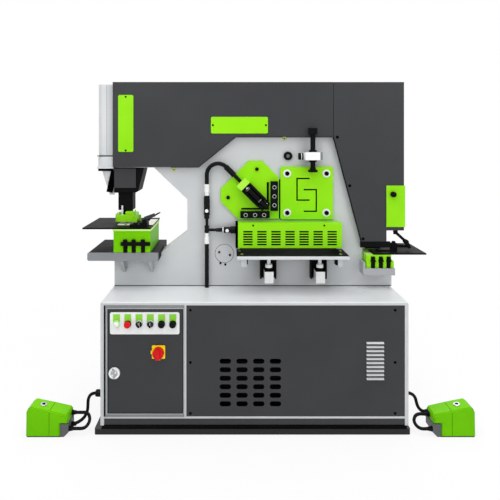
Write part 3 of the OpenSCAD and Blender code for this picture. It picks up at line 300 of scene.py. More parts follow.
def piece(bm, name, body, slot, *finishes):
    """Turns a bmesh, drawn in place, into an object that moves with a body."""
    bmesh.ops.remove_doubles(bm, verts=bm.verts, dist=MERGE)
    bmesh.ops.recalc_face_normals(bm, faces=bm.faces)
    mesh = bpy.data.meshes.new(name)
    bm.to_mesh(mesh)
    bm.free()
    mesh.polygons.foreach_set("use_smooth", [True] * len(mesh.polygons))
    mesh.set_sharp_from_angle(angle=math.radians(35))
    ob = placed(name, mesh)
    for key in finishes:
        mesh.materials.append(MATERIALS[key])
    even = ob.modifiers.new("Flat faces stay flat", "WEIGHTED_NORMAL")
    even.keep_sharp = True
    even.weight = 80
    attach(ob, body)
    return ob


def build(name, body, slot, key, *shapes):
    """One piece of one finish, from shapes: each a drawing function and what it takes after the bmesh."""
    bm = bmesh.new()
    for draw, *values in shapes:
        draw(bm, *values)
    piece(bm, name, body, slot, key)


# Body, slot and finish of the looks that come up often
# DARK draws black parts and also painted shade
DARK = ("machine", "black", "void")
COAL = ("machine", "black", "coal")
CREAM = ("machine", "white", "cream")
PLASTIC = ("machine", "black_plastic", "black_plastic")


def at(x, y, z, axis=(0, 0, 1)):
    """A place in millimetres, with +Z turned to axis."""
    turn = Vector((0, 0, 1)).rotation_difference(Vector(axis)).to_matrix().to_4x4()
    return Matrix.Translation(Vector((x, y, z)) * MM) @ turn


def lean(degrees):
    """A turn about Y."""
    return Matrix.Rotation(math.radians(degrees), 4, "Y")


def soften(bm, edges, round_mm, clamp=False):
    """Rounds edges in two steps."""
    bmesh.ops.bevel(
        bm, geom=edges, offset=round_mm * MM, segments=2, profile=0.5, affect="EDGES", material=-1,
        clamp_overlap=clamp,
    )


def drum(bm, place, r1, r2, height, sides=24, round_mm=0.0):
    """A disc or cone standing on place, in millimetres, with its top edge rounded."""
    made = bmesh.ops.create_cone(
        bm, cap_ends=True, segments=sides, radius1=r1 * MM, radius2=r2 * MM, depth=height * MM,
        matrix=place @ Matrix.Translation((0, 0, height * MM / 2)),
    )["verts"]
    if round_mm:
        up = place.to_3x3() @ Vector((0, 0, 1))
        top = max(v.co.dot(up) for v in made) - MERGE / 10
        rim = [e for e in {e for v in made for e in v.link_edges} if all(v.co.dot(up) > top for v in e.verts)]
        soften(bm, rim, round_mm)


def block(bm, low, high, round_mm=0.0, turn=None):
    """A box between two corners in millimetres, with rounded edges, turned about its middle where turn says so."""
    low, high = Vector(low) * MM, Vector(high) * MM
    size = Matrix.Diagonal((*(high - low), 1))
    place = Matrix.Translation((low + high) / 2) @ (turn or Matrix()) @ size
    made = bmesh.ops.create_cube(bm, size=1, matrix=place)["verts"]
    if round_mm:
        soften(bm, list({e for v in made for e in v.link_edges}), round_mm)


def strip(bm, start, end, width, y0, y1):
    """A flat strip from one X, Z point to another, between two depths."""
    start, end = Vector(start), Vector(end)
    middle, run = (start + end) / 2, end - start
    half = run.length / 2
    turn = Matrix.Rotation(-math.atan2(run.y, run.x), 4, "Y")
    block(bm, (middle.x - half, y0, middle.y - width / 2), (middle.x + half, y1, middle.y + width / 2), 0, turn)


def turned(bm, place, profile, sides=32):
    """A turned form from (radius, height) pairs in millimetres, spun round place's +Z."""
    points = [bm.verts.new(place @ Vector((r * MM, 0, h * MM))) for r, h in profile]
    edges = [bm.edges.new(pair) for pair in zip(points, points[1:])]
    bmesh.ops.spin(
        bm, geom=points + edges, cent=place.translation, axis=place.to_3x3() @ Vector((0, 0, 1)),
        angle=math.tau, steps=sides, use_merge=True,
    )


def band(bm, place, inner, outer, height, round_mm=0.6, sides=32):
    """A ring with a chamfer at its outer rim."""
    shoulder, rim = height - round_mm, outer - round_mm
    profile = [(inner, 0), (outer, 0), (outer, shoulder), (rim, height), (inner, height), (inner, 0)]
    turned(bm, place, profile, sides)


def head(bm, place, r, height, profile):
    """A screw head, from (radius, height) pairs that are shares of its own radius and height."""
    turned(bm, place, [(r * wide, height * up) for wide, up in profile], 18)


def hex_head(bm, place, r, height, washer=1.5):
    """A hexagon head on its washer."""
    drum(bm, place, r * 1.28, r * 1.28, washer, 24)
    drum(bm, place @ Matrix.Translation((0, 0, washer * MM)), r, r, height, 6, r * 0.08)


# A rounded socket head round its recess, and a pan head with a dimple for the driver
SOCKET = ((0, 0.45), (0.5, 0.45), (0.52, 1), (0.86, 1), (1, 0.84), (1, 0))
PAN = ((0, 0.7), (0.34, 0.7), (0.42, 1), (0.62, 1), (0.9, 0.7), (1, 0.3), (1, 0))


# --- the frame's own pieces

# How much each kind of piece is rounded at its edges, in millimetres, and the rest by ROUND_OTHERS
ROUND_OTHERS = 0.5
ROUND = {
    "cabinet": 1.6, "base_tray": 4.5, "top_cover": 1.2, "side_cover": 1.2, "frame": 1.6, "end_cap": 1.2,
    "lower_table": 2.5, "punch_table": 1.0, "die_block": 2.0, "notch_block": 2.0, "notch_table": 1.0,
    "shear_table": 1.5, "shear_guard": 0.8, "angle_plate": 1.4, "section_plate": 1.4, "pedal_hoods": 5.0,
    "pedal_bases": 1.5, "stripper": 2.0, "ram_guide": 2.0, "punch_ram": 1.6, "door": 1.2, "front_panels": 0.6,
}


def inside(c, n, x0, x1, z0, z1):
    """Whether a face is a wall across the depth, within an area seen from the front."""
    return abs(n.y) < 0.5 and x0 < c.x < x1 and z0 < c.z < z1


def near(c, middle, reach):
    """Whether a face is within a square round an X, Z point."""
    return abs(c.x - middle[0]) < reach and abs(c.z - middle[1]) < reach


# Finish of each frame piece, and of those of its faces that a test picks by centre and normal
PAINTS = {
    **dict.fromkeys(
        (
            "hydraulic_unit", "punch_ram", "punch_table", "notch_table", "spindle", "spindle_foot", "clamp_guide",
            "clamp_piston", "angle_blades", "clamp_bolts", "table_fence", "fence_lever", "notch_arm",
        ),
        ("coal",),
    ),
    "base_tray": ("tray",),
    "cabinet": (
        "light",
        ("ring", lambda c, n: -758 < c.x < -352 and 84 < c.z < 645 and c.y < -351 and n.y < -0.5),
        # Painted shade in the gap beside the door bay
        ("seam", lambda c, n: -760 < c.x < -350 and 80 < c.z < 646 and -352 < c.y < -326),
        # Inner walls of the cabinet painted black, as painted shade
        ("void", lambda c, n: abs(c.x) < 773 and -345 < c.y < 348 and 42 < c.z < 649),
        # Upward faces of the deck in the lighter copy, as painted light
        ("deck", lambda c, n: n.z > 0.7 and c.z > 640),
    ),
    "front_panels": (
        "charcoal",
        # Painted highlight on the upward faces at the front, as on the louvres, and painted shade on the walls of the
        # openings
        ("light", lambda c, n: c.y < -350.5 and n.z > 0.3),
        ("void", lambda c, n: inside(c, n, -330, 740, 100, 610) and c.y > -350),
    ),
    "frame": (
        "light",
        # Painted shade on the walls of the frame's slots, in the inspection cover's groove and on the inner walls
        # between its plates
        (
            "void",
            lambda c, n: inside(c, n, -70, 440, 862, 1350)
            or (math.hypot(c.x + 155, c.z - 841) < 54 and c.y > FRAME_Y + 0.3),
        ),
        ("void", lambda c, n: abs(n.y) > 0.5 and abs(c.y) < 66),
    ),
    # The shear beam inside the frame painted black, as painted shade
    "shear_beam": ("void",),
    "top_cover": ("charcoal",),
    "side_cover": ("charcoal", ("coal", lambda c, n: c.z < 980 and (c.y > COVER_Y + 2.5 or n.z < -0.5) and c.y < 0)),
    # A black band at the end cap's seam, painted shade
    "end_cap": ("silver", ("void", lambda c, n: 1383.6 < c.z < 1388.4)),
    "ram_guide": ("coal", ("charcoal", lambda c, n: c.y < FRAME_Y - 0.5)),
    "die": ("steel", ("cream", lambda c, n: n.z > 0.5)),
    # Black top, and the right side painted black as painted shade
    "lower_table": ("grey", ("coal", lambda c, n: n.z > 0.9 or n.x > 0.9)),
    "jaw_brackets": ("pale_grey",),
    # Painted highlight on the die block's top rim, and painted shade on its right side
    "die_block": ("lime_top", ("lime_pale", lambda c, n: c.z > 984.5), ("lime_deep", lambda c, n: n.x > 0.9)),
    "angle_plate": (
        "green",
        # Painted shade on the walls of the slot
        ("void", lambda c, n: inside(c, n, -70, 112, 1080, 1250) and c.y > -80),
        ("lime_lug", lambda c, n: c.y < -83),
    ),
    # Painted shade on the walls of the section plate's slots
    "section_plate": ("green", ("void", lambda c, n: inside(c, n, 225, 380, 1060, 1300))),
    "frame_bolts": (
        "coal",
        ("white", lambda c, n: near(c, SECTION_MIDDLE, 150) and c.y > SECTION_Y - 4.5),
        ("grey", lambda c, n: math.hypot(c.x - 200, c.z - 1387) < 13 and n.y < -0.5 and c.y > -83),
    ),
    "spindle_bracket": (
        "white",
        ("coal", lambda c, n: c.x < 285 or (abs(c.z - SPINDLE[2]) > 21.5 and abs(c.x - SPINDLE[0]) < 24)),
        ("grey", lambda c, n: c.x > 366),
    ),
    "shear_guard": (
        "green",
        # Painted shade on the guard's back and slot walls, and its left side painted black as shade
        ("void", lambda c, n: n.y > 0.5 or (inside(c, n, -75, 478, 0, 1000) and GUARD_Y < c.y < GUARD_Y + 3.1)),
        ("tray", lambda c, n: n.x < -0.5),
    ),
    "shear_table": ("grey", ("coal", lambda c, n: n.z > 0.9), ("silver", lambda c, n: n.y < -0.9)),
    "shear_supports": (
        "coal",
        ("coal", lambda c, n: 757 < c.z < 782),
        ("white", lambda c, n: c.y < -111),
        ("pale_grey", lambda c, n: c.z > 808 and (c.x < -20 or c.x > 470)),
    ),
    "pipework": ("gloss", ("hose", lambda c, n: c.z > 1232)),
    "pipe_fittings": ("white",),
    # Painted highlight on the notch block's top
    "notch_block": ("green", ("lime_pale", lambda c, n: n.z > 0.9 and c.z > 840)),
    "notch_ram": ("dark_steel",),
    "notch_guard": ("green", ("coal", lambda c, n: c.y < COVER_Y - 5)),
    "cable_glands": ("black_plastic",),
    "control_plate": (
        "white_plastic",
        ("yellow", lambda c, n: near(c, SWITCH, 34)),
        ("black_plastic", lambda c, n: c.y < PLATE_Y - 0.2 and c.x > -670),
    ),
    "main_switch": ("red",),
    # Painted shade on the pedal hoods' fronts and sides, and painted light on their tops
    "pedal_hoods": ("lime_deep", ("lime_top", lambda c, n: n.z > 0.5)),
    "pedal_bases": ("tray", ("pedal_grey", lambda c, n: abs(c.x + 20.5) < 946.5)),
    "treadle_left": ("black_plastic",),
    "treadle_right": ("black_plastic",),
}

# Centre lines of the pedal cables, in millimetres, as in the part's source
ROUTES = {
    "cable_left": [
        (-790, -300, 178), (-813, -300, 178), (-827, -300, 175), (-840, -297, 166), (-849, -294, 151),
        (-854, -290, 132), (-856, -287, 108), (-858, -287, 84), (-865, -290, 63), (-877, -298, 47),
        (-893, -309, 38), (-908, -319, 35), (-922, -325, 34), (-935, -325, 34), (-948, -325, 34),
    ],
    "loop_left": [
        (-936, -310, 84), (-920, -310, 84), (-900, -310, 84), (-880, -310, 84), (-864, -311, 84),
        (-849, -315, 81), (-838, -324, 72), (-833, -338, 59), (-838, -352, 46), (-849, -361, 37),
        (-864, -365, 34), (-880, -366, 34), (-900, -366, 34), (-920, -366, 34), (-947, -366, 34),
    ],
    "cable_right": [
        (779, -300, 178), (792, -300, 178), (804, -300, 175), (817, -300, 167), (827, -300, 153),
        (832, -300, 136), (837, -301, 118), (846, -302, 101), (860, -303, 89), (877, -303, 84), (896, -303, 84),
    ],
    "loop_right": [
        (896, -325, 84), (880, -325, 84), (860, -325, 84), (838, -325, 84), (822, -328, 80),
        (810, -336, 71), (805, -346, 59), (810, -357, 47), (822, -365, 38), (838, -368, 34),
        (860, -368, 34), (880, -368, 34), (906, -368, 34),
    ],
}


def rounded_copy(node, tests):
    """A merged copy of a frame piece with its outer edges rounded, and its faces sorted by finish."""
    bm = bmesh.new()
    bm.from_mesh(frame["nodes"][node].data)
    bmesh.ops.remove_doubles(bm, verts=bm.verts, dist=MERGE)
    bmesh.ops.dissolve_limit(bm, angle_limit=math.radians(0.6), verts=bm.verts, edges=bm.edges)
    for face in bm.faces:
        centre = face.calc_center_median() / MM
        for index, (_, test) in enumerate(tests, 1):
            if test(centre, face.normal):
                face.material_index = index
                break
    # The edges of laser-cut openings stay crisp, and so do edges too short for the rounding
    round_mm = ROUND.get(node, ROUND_OTHERS)
    cut = {index for index, (key, _) in enumerate(tests, 1) if key == "void"}
    sharp = [
        e for e in bm.edges
        if len(e.link_faces) == 2 and e.is_convex and e.calc_face_angle(0) > math.radians(40)
        and e.calc_length() > 2.2 * round_mm * MM and not cut.intersection(f.material_index for f in e.link_faces)
    ]
    soften(bm, sharp, round_mm, True)
    return bm


class IRONWORKER_OT_finishes(bpy.types.Operator):
    """Mix the paints, bare and plated metals, plastics and rubber"""

    bl_idname = "ironworker.finishes"
    bl_label = "Finishes"

    def execute(self, context):
        mix_finishes(context.scene.ironworker_colours)
        return {"FINISHED"}


class IRONWORKER_OT_cables(bpy.types.Operator):
    """Pedal cables with their glands and strain reliefs"""

    bl_idname = "ironworker.cables"
    bl_label = "Cables"

    def execute(self, context):
        radius = context.scene.ironworker_sizes.cable / 2
        for node, route in ROUTES.items():
            curve = bpy.data.curves.new(node + "_sheath", "CURVE")
            curve.dimensions = "3D"
            curve.bevel_depth = radius
            curve.bevel_resolution = 5
            curve.resolution_u = 6
            curve.use_fill_caps = True
            spline = curve.splines.new("BEZIER")
            spline.bezier_points.add(len(route) - 1)
            for point, place in zip(spline.bezier_points, route):
                point.co = Vector(place) * MM
                point.handle_left_type = point.handle_right_type = "AUTO"
            curve.materials.append(MATERIALS["rubber"])
            ob = placed(node + "_sheath", curve)
            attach(ob, "machine")
            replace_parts(ob, node)

        def sleeve(*profile):
            """A sleeve's profile, from pairs that give how far it stands off the cable and how far along it is."""
            return [(radius / MM + off, along) for off, along in profile]

        # Tapered boots at the ports of the pedals' hoods and bases
        boot = sleeve(
            (0.2, 0), (5, 0), (5, 4), (3.4, 5), (3.8, 8), (2.6, 9),
            (3, 13), (1.8, 14), (2.2, 18), (1, 19), (0.8, 23), (0.2, 23),
        )
        ports = (
            (-930, -310, PORT_HIGH, 1), (-927, -325, PORT_LOW, 1), (-927, -366, PORT_LOW, 1),
            (889, -303, PORT_HIGH, -1), (889, -325, PORT_HIGH, -1), (886, -368, PORT_LOW, -1),
        )
        build(
            "cable_boots", *PLASTIC,
            *((turned, at(x, y, z, (side, 0, 0)), boot, 28) for x, y, z, side in ports),
        )
        # Ribbed gland of the left cable, tapering outwards, and the small one of the right cable
        ribs = [
            (wide - i * 1.1, along + i * 4.4)
            for i in range(6)
            for wide, along in ((10, 8), (10.6, 10.6), (8, 11.4))
        ]
        large = sleeve((0.3, 0), (14, 0), (14, 5), (10, 6), *ribs, (1.4, 36), (0.3, 36))
        small = sleeve((0.3, 0), (8, 0), (8, 3), (6, 4), (6, 9), (3, 12), (1.2, 15), (0.3, 15))
        build(
            "cable_gland_ribs", *PLASTIC,
            (turned, at(-775, -300, GLAND_Z, (-1, 0, 0)), large, 32),
            (turned, at(775, -300, GLAND_Z, (1, 0, 0)), small, 28),
        )
        return {"FINISHED"}


class IRONWORKER_OT_bodywork(bpy.types.Operator):
    """Round the edges of the frame's pieces and paint them"""

    bl_idname = "ironworker.bodywork"
    bl_label = "Bodywork"

    def execute(self, context):
        slots = {s["node"]: s["material_slot"] for s in frame["record"]["subparts"]}
        for body, nodes in frame["record"]["behaviour"]["bodies"].items():
            for node in nodes:
                if node in ROUTES:
                    continue
                base, *tests = PAINTS.get(node, (slots[node],))
                keys = (base, *(key for key, _ in tests))
                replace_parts(piece(rounded_copy(node, tests), node + "_dressed", body, slots[node], *keys), node)
        return {"FINISHED"}


class IRONWORKER_OT_fasteners(bpy.types.Operator):
    """Screws of the covers, the bare plates, the frame and the panels, and painted shade in the gaps between sheets"""

    bl_idname = "ironworker.fasteners"
    bl_label = "Fasteners and seams"

    def execute(self, context):
        sizes = context.scene.ironworker_sizes
        panel, cover = sizes.panel_screw / MM, sizes.cover_screw / MM
        plates = ((-700, 1715), (-700, 1418), (-218, 1558), (75, 1558))
        flange = ((-184, 849), (-124, 833), (-177, 788), (-150, 780))
        build(
            "cover_screws", *DARK,
            *((head, at(x, DOOR_Y, z, FRONT), panel, 3, PAN) for x in (-322, 708) for z in (620, 357, 101)),
            *((head, at(x, COVER_Y, z, FRONT), cover, 4, PAN) for x, z in ((471, 1492), (539, 1223), (613, 929))),
            *((head, at(x, COVER_Y - 4, z, FRONT), 5.5, 2.5, PAN) for x, z in plates),
            *((head, at(x, FRAME_Y, z, FRONT), 6, 5, SOCKET) for x, z in flange),
        )
        # Eyes on the frame and on the jaw brackets, and the screws of the shear table
        eyes = (
            (-438, FRAME_Y, 1311, 5, 12, 4), (180, FRAME_Y, 1484, 5, 12, 4),
            (-712, BOSS_Y, 758, 4, 11, 3), (-559, BOSS_Y, 758, 4, 11, 3),
        )
        table = ((-72, -124), (-60, -202), (480, -124), (466, -202))
        build(
            "chromate_screws", "machine", "steel", "chromate",
            *((band, at(x, y, z, FRONT), inner, outer, height, 1) for x, y, z, inner, outer, height in eyes),
            *((head, at(x, y, SHEAR_TOP), 8, 4, SOCKET) for x, y in table),
        )
        self.shadow_lines(eyes)
        sheet = ("machine", "cap_silver")
        build("cap_skirt", *sheet, "silver", (block, (-863, -84.5, CAP_FOOT), (-773.5, 84.5, CAP_FOOT + 15), 3))
        # A darker line at the cap's fold and a darker skin on its right-hand facet, painted shade where the facet
        # turns from the light
        build("cap_fold", *sheet, "ring", (block, (-811.6, -82.5, CAP_SEAM), (-810.2, -81.8, CAP_TOP)))
        build("cap_side", *sheet, "light", (block, (-810.2, -82.3, CAP_SEAM), (-773.5, -81.9, CAP_TOP)))
        return {"FINISHED"}

    def shadow_lines(self, eyes):
        """Painted shade: black lines where sheets and plates meet, and black discs in the bores of the eyes."""
        angle, section = ([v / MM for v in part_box(node)] for node in ("angle_plate", "section_plate"))
        seam = (COVER_Y - 0.05, COVER_Y + 0.4)
        under = ((-455, 1324), (-299, 1324), (-91, 1492.5), (446, 1492.5))
        behind, front = FRAME_Y + 0.2, FRAME_Y - 2
        build(
            "shadow_gaps", *DARK,
            *((drum, at(x, y + 0.2, z, FRONT), 4.1, 4.1, 2.4, 6) for x, y, z, *_ in eyes),
            # Painted shade lines at the door bay's left side, the covers' seam, the side cover's slanted edge and the
            # cabinet's foot
            (block, (-757, RING_Y - 0.5, 86), (-749.5, RING_Y - 0.1, 643)),
            (strip, (448.9, 1498), (448.9, 1794), 1.8, *seam),
            (strip, (447.5, 1494), (601.5, 914.5), 6, seam[0], COVER_Y + 2),
            (block, (-757, -350.6, 40.2), (757, -349.8, 44)),
            # Painted shade at the end cap's seam, in its black lower band and on the black side of its tail
            (block, (-862.5, -84.8, CAP_SEAM - 5.5), (-773.6, -80, CAP_SEAM - 1)),
            (block, (-858, -83.5, CAP_FOOT - 13), (-774, 83.5, CAP_FOOT), 2),
            (strip, (-771, CAP_FOOT - 13), (-797, 1184), 34, -76, -71),
            # Painted shade under the top cover, along the frame's foot and round the two shear plates
            *((strip, *ends, 4, FRAME_Y - 0.8, behind) for ends in zip(under, under[1:])),
            (block, (FRAME_ENDS[0], FRAME_Y - 1, DECK_TOP - 0.1), (FRAME_ENDS[1], behind, DECK_TOP + 3.5)),
            (block, (-50, front, angle[0].z - 4), (angle[1].x, behind, angle[0].z + 0.5)),
            (block, (section[0].x, front, section[0].z - 4), (section[1].x, behind, section[0].z + 0.5)),
            (block, (angle[1].x - 0.5, front, angle[0].z), (section[0].x + 0.5, behind, 1255)),
        )


class IRONWORKER_OT_controls(bpy.types.Operator):
    """Labels, bezels, lamp, buttons, lock and main switch of the door"""

    bl_idname = "ironworker.controls"
    bl_label = "Door controls"

    def execute(self, context):
        face, z = PLATE_Y, BUTTON_Z
        lamp, stop, *turns, left, right = BUTTONS
        build(
            "label_tiles", "door", "green", "label",
            *((block, (x - 17.5, face - 1.6, z + 9), (x + 17.5, face + 0.2, z + 49), 0.7) for x in BUTTONS),
        )
        build(
            "button_bezels", "door", "steel", "chrome",
            *((band, at(x, face - 4, z, FRONT), 16.2, 18.4, 2.4, 0.8, 40) for x in turns),
        )
        build("lamp_ring", "door", "green", "green", (band, at(lamp, face - 4, z, FRONT), 13, 16.5, 5, 1, 40))
        dome = [(13.4, 0), (13, 3), (9.5, 5.6), (5, 6.8), (0, 7.2)]
        build("lamp_lens", "door", "white_plastic", "lens", (turned, at(lamp, face - 9, z, FRONT), dome, 40))
        dome = [(16, 0), (16, 1.4), (14.6, 2.6), (8, 3.6), (0, 4)]
        build("stop_cap", "stop", "red", "red", (turned, at(stop, face - 18, z, FRONT), dome, 40))
        cap = [(16.6, 0), (16.6, 4.4), (15.4, 5.8), (12.6, 6.2), (12, 5.2), (0, 5.2)]
        for x, body in ((left, "button_a"), (right, "button_b")):
            build(body + "_cap", body, "black_plastic", "black_plastic", (turned, at(x, face - 12, z, FRONT), cap, 36))
        for x, body in zip(turns, ("selector_a", "selector_b")):
            build(
                body + "_marks", body, "white_plastic", "white_plastic",
                (block, (x - 1.1, face - 22.7, z + 1), (x + 1.1, face - 21.8, z + 12), 0.2),
                (block, (x - 5.2, face - 13, z - 13.6), (x - 4, face - 12.2, z + 13.6), 0.2),
                (block, (x + 4, face - 13, z - 13.6), (x + 5.2, face - 12.2, z + 13.6), 0.2),
            )
        # Lock: an enamelled rose, its turning disc and handle, and the keyway, drawn as a black disc of painted shade
        x, z = LOCK
        rose = [(28.4, -9), (28.4, -1), (27, 1.4), (24, 2.2), (22, 1.6), (20, 0.4), (0, 0.4)]
        grip = (block, (x - 5, DOOR_Y - 17, z - 14), (x + 5, DOOR_Y - 11, z + 14), 1.6, lean(40))
        build("lock_rose", "lock", "steel", "white", (turned, at(x, DOOR_Y - 9.8, z, FRONT), rose, 48))
        build("lock_disc", "lock", "steel", "steel", (drum, at(x, DOOR_Y - 10.1, z, FRONT), 18, 16.5, 1.6, 40, 0.4))
        build("lock_handle", "lock", "steel", "white", grip)
        keyway = at(x - 5, DOOR_Y - 11, z + 21.5, FRONT)
        build("lock_keyway", "lock", "black", "void", (drum, keyway, 3.8, 3.8, 1.8, 16))
        # Main switch: two tabs of its plate, and the knob's skirt
        x, z = SWITCH
        build(
            "switch_plate_tabs", "door", "white_plastic", "yellow",
            (block, (x - 9, face - 3.4, z - 39), (x + 9, face, z - 32), 1),
            (block, (x - 39, face - 3.4, z - 9), (x - 32, face, z + 9), 1),
            (band, at(x, face, z, FRONT), 28.8, 31, 1.6, 0.5, 48),
        )
        # Thin lighter lines along the door ring's edges, painted highlight
        low, high = 99, 629
        build(
            "door_ring_bead", "machine", "light", "silver",
            (block, (-742, RING_Y - 1, low - 0.6), (-358, RING_Y, low + 1.4), 0.3),
            (block, (-742, RING_Y - 1, high - 1.4), (-358, RING_Y, high + 0.6), 0.3),
            (block, (-743, RING_Y - 1, low), (-741, RING_Y, high), 0.3),
            (block, (-355.5, RING_Y - 0.3, low), (-353.5, RING_Y, high)),
        )
        return {"FINISHED"}


class IRONWORKER_OT_punch_parts(bpy.types.Operator):
    """Guide pin, bolts, plates and clamp heads of the punch station"""

    bl_idname = "ironworker.punch_parts"
    bl_label = "Punch station"

    def execute(self, context):
        build(
            "guide_pin", "machine", "steel", "chrome",
            (drum, at(*GUIDE), 6, 6, 52, 20, 1), (band, at(*GUIDE), 5, 9, 5, 1, 20),
        )
        build(
            "stripper_bolts", "machine", "steel", "chromate",
            *((hex_head, at(x, GUIDE[1], GUIDE[2] + 2), 7, 7) for x in (-752, -672)),
        )
        # Front wall of the stripper, with its tapered upper lip
        build(
            "stripper_front", "machine", "green", "green",
            (block, (PUNCH_X - 50, -65, 1018.5), (PUNCH_X + 56, -47, 1057), 5),
            (block, (PUNCH_X + 2, -64, 1050), (PUNCH_X + 50, -47, 1076), 7),
        )
        # Setting plate in front of the stripper, with a thin black disc of painted shade in its bore
        build("setting_plate", *CREAM, (block, (-748, -94, 1003.2), (-668, -66, 1005.4), 0.5))
        build("setting_bore", *DARK, (drum, at(-704, -80, 1005.3), 9, 9, 0.4, 28))
        # Plate on the fence's lever, and the pale scraper plate at the table's right end
        plate = (block, (-594, -131.5, 1047), (-532, -128, 1066), 1, lean(-20))
        build("lever_plate", "lever", "black", "charcoal", plate)
        build("scraper_plate", *CREAM, (block, (-594, -88, 1003), (-552, 110, 1004.6), 0.5))
        # Square heads of the clamp bolts
        build(
            "clamp_heads", *COAL,
            *((block, (x - 10, -189, 925), (x + 10, -170, 941), 1.5) for x in (-687, -642, -592)),
        )
        return {"FINISHED"}


class IRONWORKER_OT_shear_parts(bpy.types.Operator):
    """Screws, table blocks and painted shade liner and slot shades of the shears, the clamp's bands and the spindle's
    thread and collars
    """

    bl_idname = "ironworker.shear_parts"
    bl_label = "Shear stations"

    def execute(self, context):
        self.plates()
        self.clamp()
        self.spindle()
        return {"FINISHED"}

    def plates(self):
        """Screws of the blades, the section plate and the guard, painted shade in the guard and round the slots, and
        the table's ends.
        """
        screws = [(122, z) for z in (1214, 1164, 1115)] + [(x, 1061) for x in (-37, 15, 65)]
        build(
            "blade_screws", *DARK,
            *((head, at(x, BLADE_Y, z, FRONT), 7.5, 4, SOCKET) for x, z in screws),
            *((head, at(x, GUARD_Y, 1013, FRONT), 5, 2.5, PAN) for x in (2, 387)),
        )
        build(
            "blade_washers", "machine", "steel", "bolt",
            *((band, at(x, BLADE_Y, z, FRONT), 8.2, 11, 1, 0.3, 28) for x, z in screws),
        )
        x, z = SECTION_MIDDLE
        sides = (-SECTION_BOLT, SECTION_BOLT)
        # Thin black hexagons in the section plate's bolt heads, painted shade in their sockets
        build(
            "section_bolt_sockets", *DARK,
            *((drum, at(x + dx, SECTION_Y - 14, z + dz, FRONT), 6, 6, 0.4, 6) for dx in sides for dz in sides),
        )
        # A black liner behind the guard's slots and a black block at its left end, painted shade
        build(
            "guard_liner", *DARK,
            (block, (-76, GUARD_Y + 5, 893), (479, GUARD_Y + 6, 1021)),
            (block, (-93, GUARD_Y + 2, 889), (-80.4, FRAME_Y, 1024), 1),
        )
        # Painted shade: black strips at the upper and lower edges of the guard's slots, and black backings behind the
        # shears' slots
        corners = [
            (GUARD_SLOTS[0] + column * SLOT_PITCH[0], GUARD_SLOTS[1] + row * SLOT_PITCH[1] + up)
            for column in range(7)
            for row in range(6)
            for up in (-0.5, 7)
        ]
        build(
            "guard_slot_edges", *DARK,
            *((block, (x - 0.5, GUARD_Y - 0.2, z - 0.5), (x + 50.5, GUARD_Y + 1, z + 0.5)) for x, z in corners),
        )
        lips = ((91.5, 1112, 96.3, 1236), (262, 1132, 274, 1139.5), (356, 1184.5, 364, 1190))
        build(
            "slot_lips", *DARK,
            *((block, (x0, 56, z0), (x1, 69.5, z1)) for x0, z0, x1, z1 in lips),
        )
        # Blocks under the ends of the shear table, and their keepers
        build(
            "table_end_blocks", "machine", "grey", "silver",
            *((block, (x0, -205, 800), (x1, -160, SHEAR_BOTTOM), 1.5) for x0, x1 in ((-63, -34), (452, 477))),
        )
        build(
            "table_end_keepers", *COAL,
            (block, (-34, -200, 812), (-28, -160, SHEAR_BOTTOM), 1),
            (block, (441, -200, 808), (452, -160, SHEAR_BOTTOM), 1),
        )

    def clamp(self):
        """Nose rails on the clamp's guide, and the piston's foot, plated bands and dot."""
        rails = [CLAMP_TOP + DOWNHILL * 163 + UPHILL * off for off in (-25, 25)]
        build(
            "clamp_nose", *COAL,
            *((block, v - Vector((17, 14, 5)), v + Vector((17, 22, 5)), 2, lean(45)) for v in rails),
        )
        foot = [(0, 0), (17.4, 0), (17.4, 42), (12, 52), (8, 56), (0, 56)]
        place = at(*(CLAMP_TOP + DOWNHILL * 136), DOWNHILL)
        build("clamp_foot", "clamp", "black", "coal", (turned, place, foot, 32))
        spots = [at(*(CLAMP_TOP + DOWNHILL * along), DOWNHILL) for along in (33, 40, 128)]
        build("clamp_bands", "clamp", "steel", "bolt", *((band, spot, 16.8, 18.2, 2, 0.5, 32) for spot in spots))
        dot = CLAMP_TOP + DOWNHILL * 30 - Vector((0, 17.2, 0))
        build("clamp_dot", "clamp", "white", "white", (drum, at(*dot, FRONT), 4, 4, 1.6, 24, 0.5))

    def spindle(self):
        """Thread and collars of the hold-down spindle, and the bands of its bracket."""
        x, y, z = SPINDLE
        root, crest, pitch = 13.3, 13.56, 5
        threads = []
        for low, high in ((-64, -36), (38, 116)):
            profile = [(root, low)]
            for turn in range(low, high - pitch + 1, pitch):
                profile += [(crest, turn + 1.5), (crest, turn + 2.8), (root, turn + 4.4)]
            threads.append(profile)
        build("spindle_thread", "hold_down", "black", "coal", *((turned, at(x, y, z), p, 28) for p in threads))
        build(
            "spindle_collars", "hold_down", "black", "coal",
            *((block, (x - 22, y - 22, z + up), (x + 22, y + 22, z + up + 6), 1.5) for up in (120, 146)),
        )
        build(
            "bracket_bands", "machine", "white", "silver",
            *((band, at(x - off, y + 14, z - 2, (-1, 0, 0)), 15, 20, wide, 1, 32) for off, wide in ((45, 6), (60, 4))),
        )


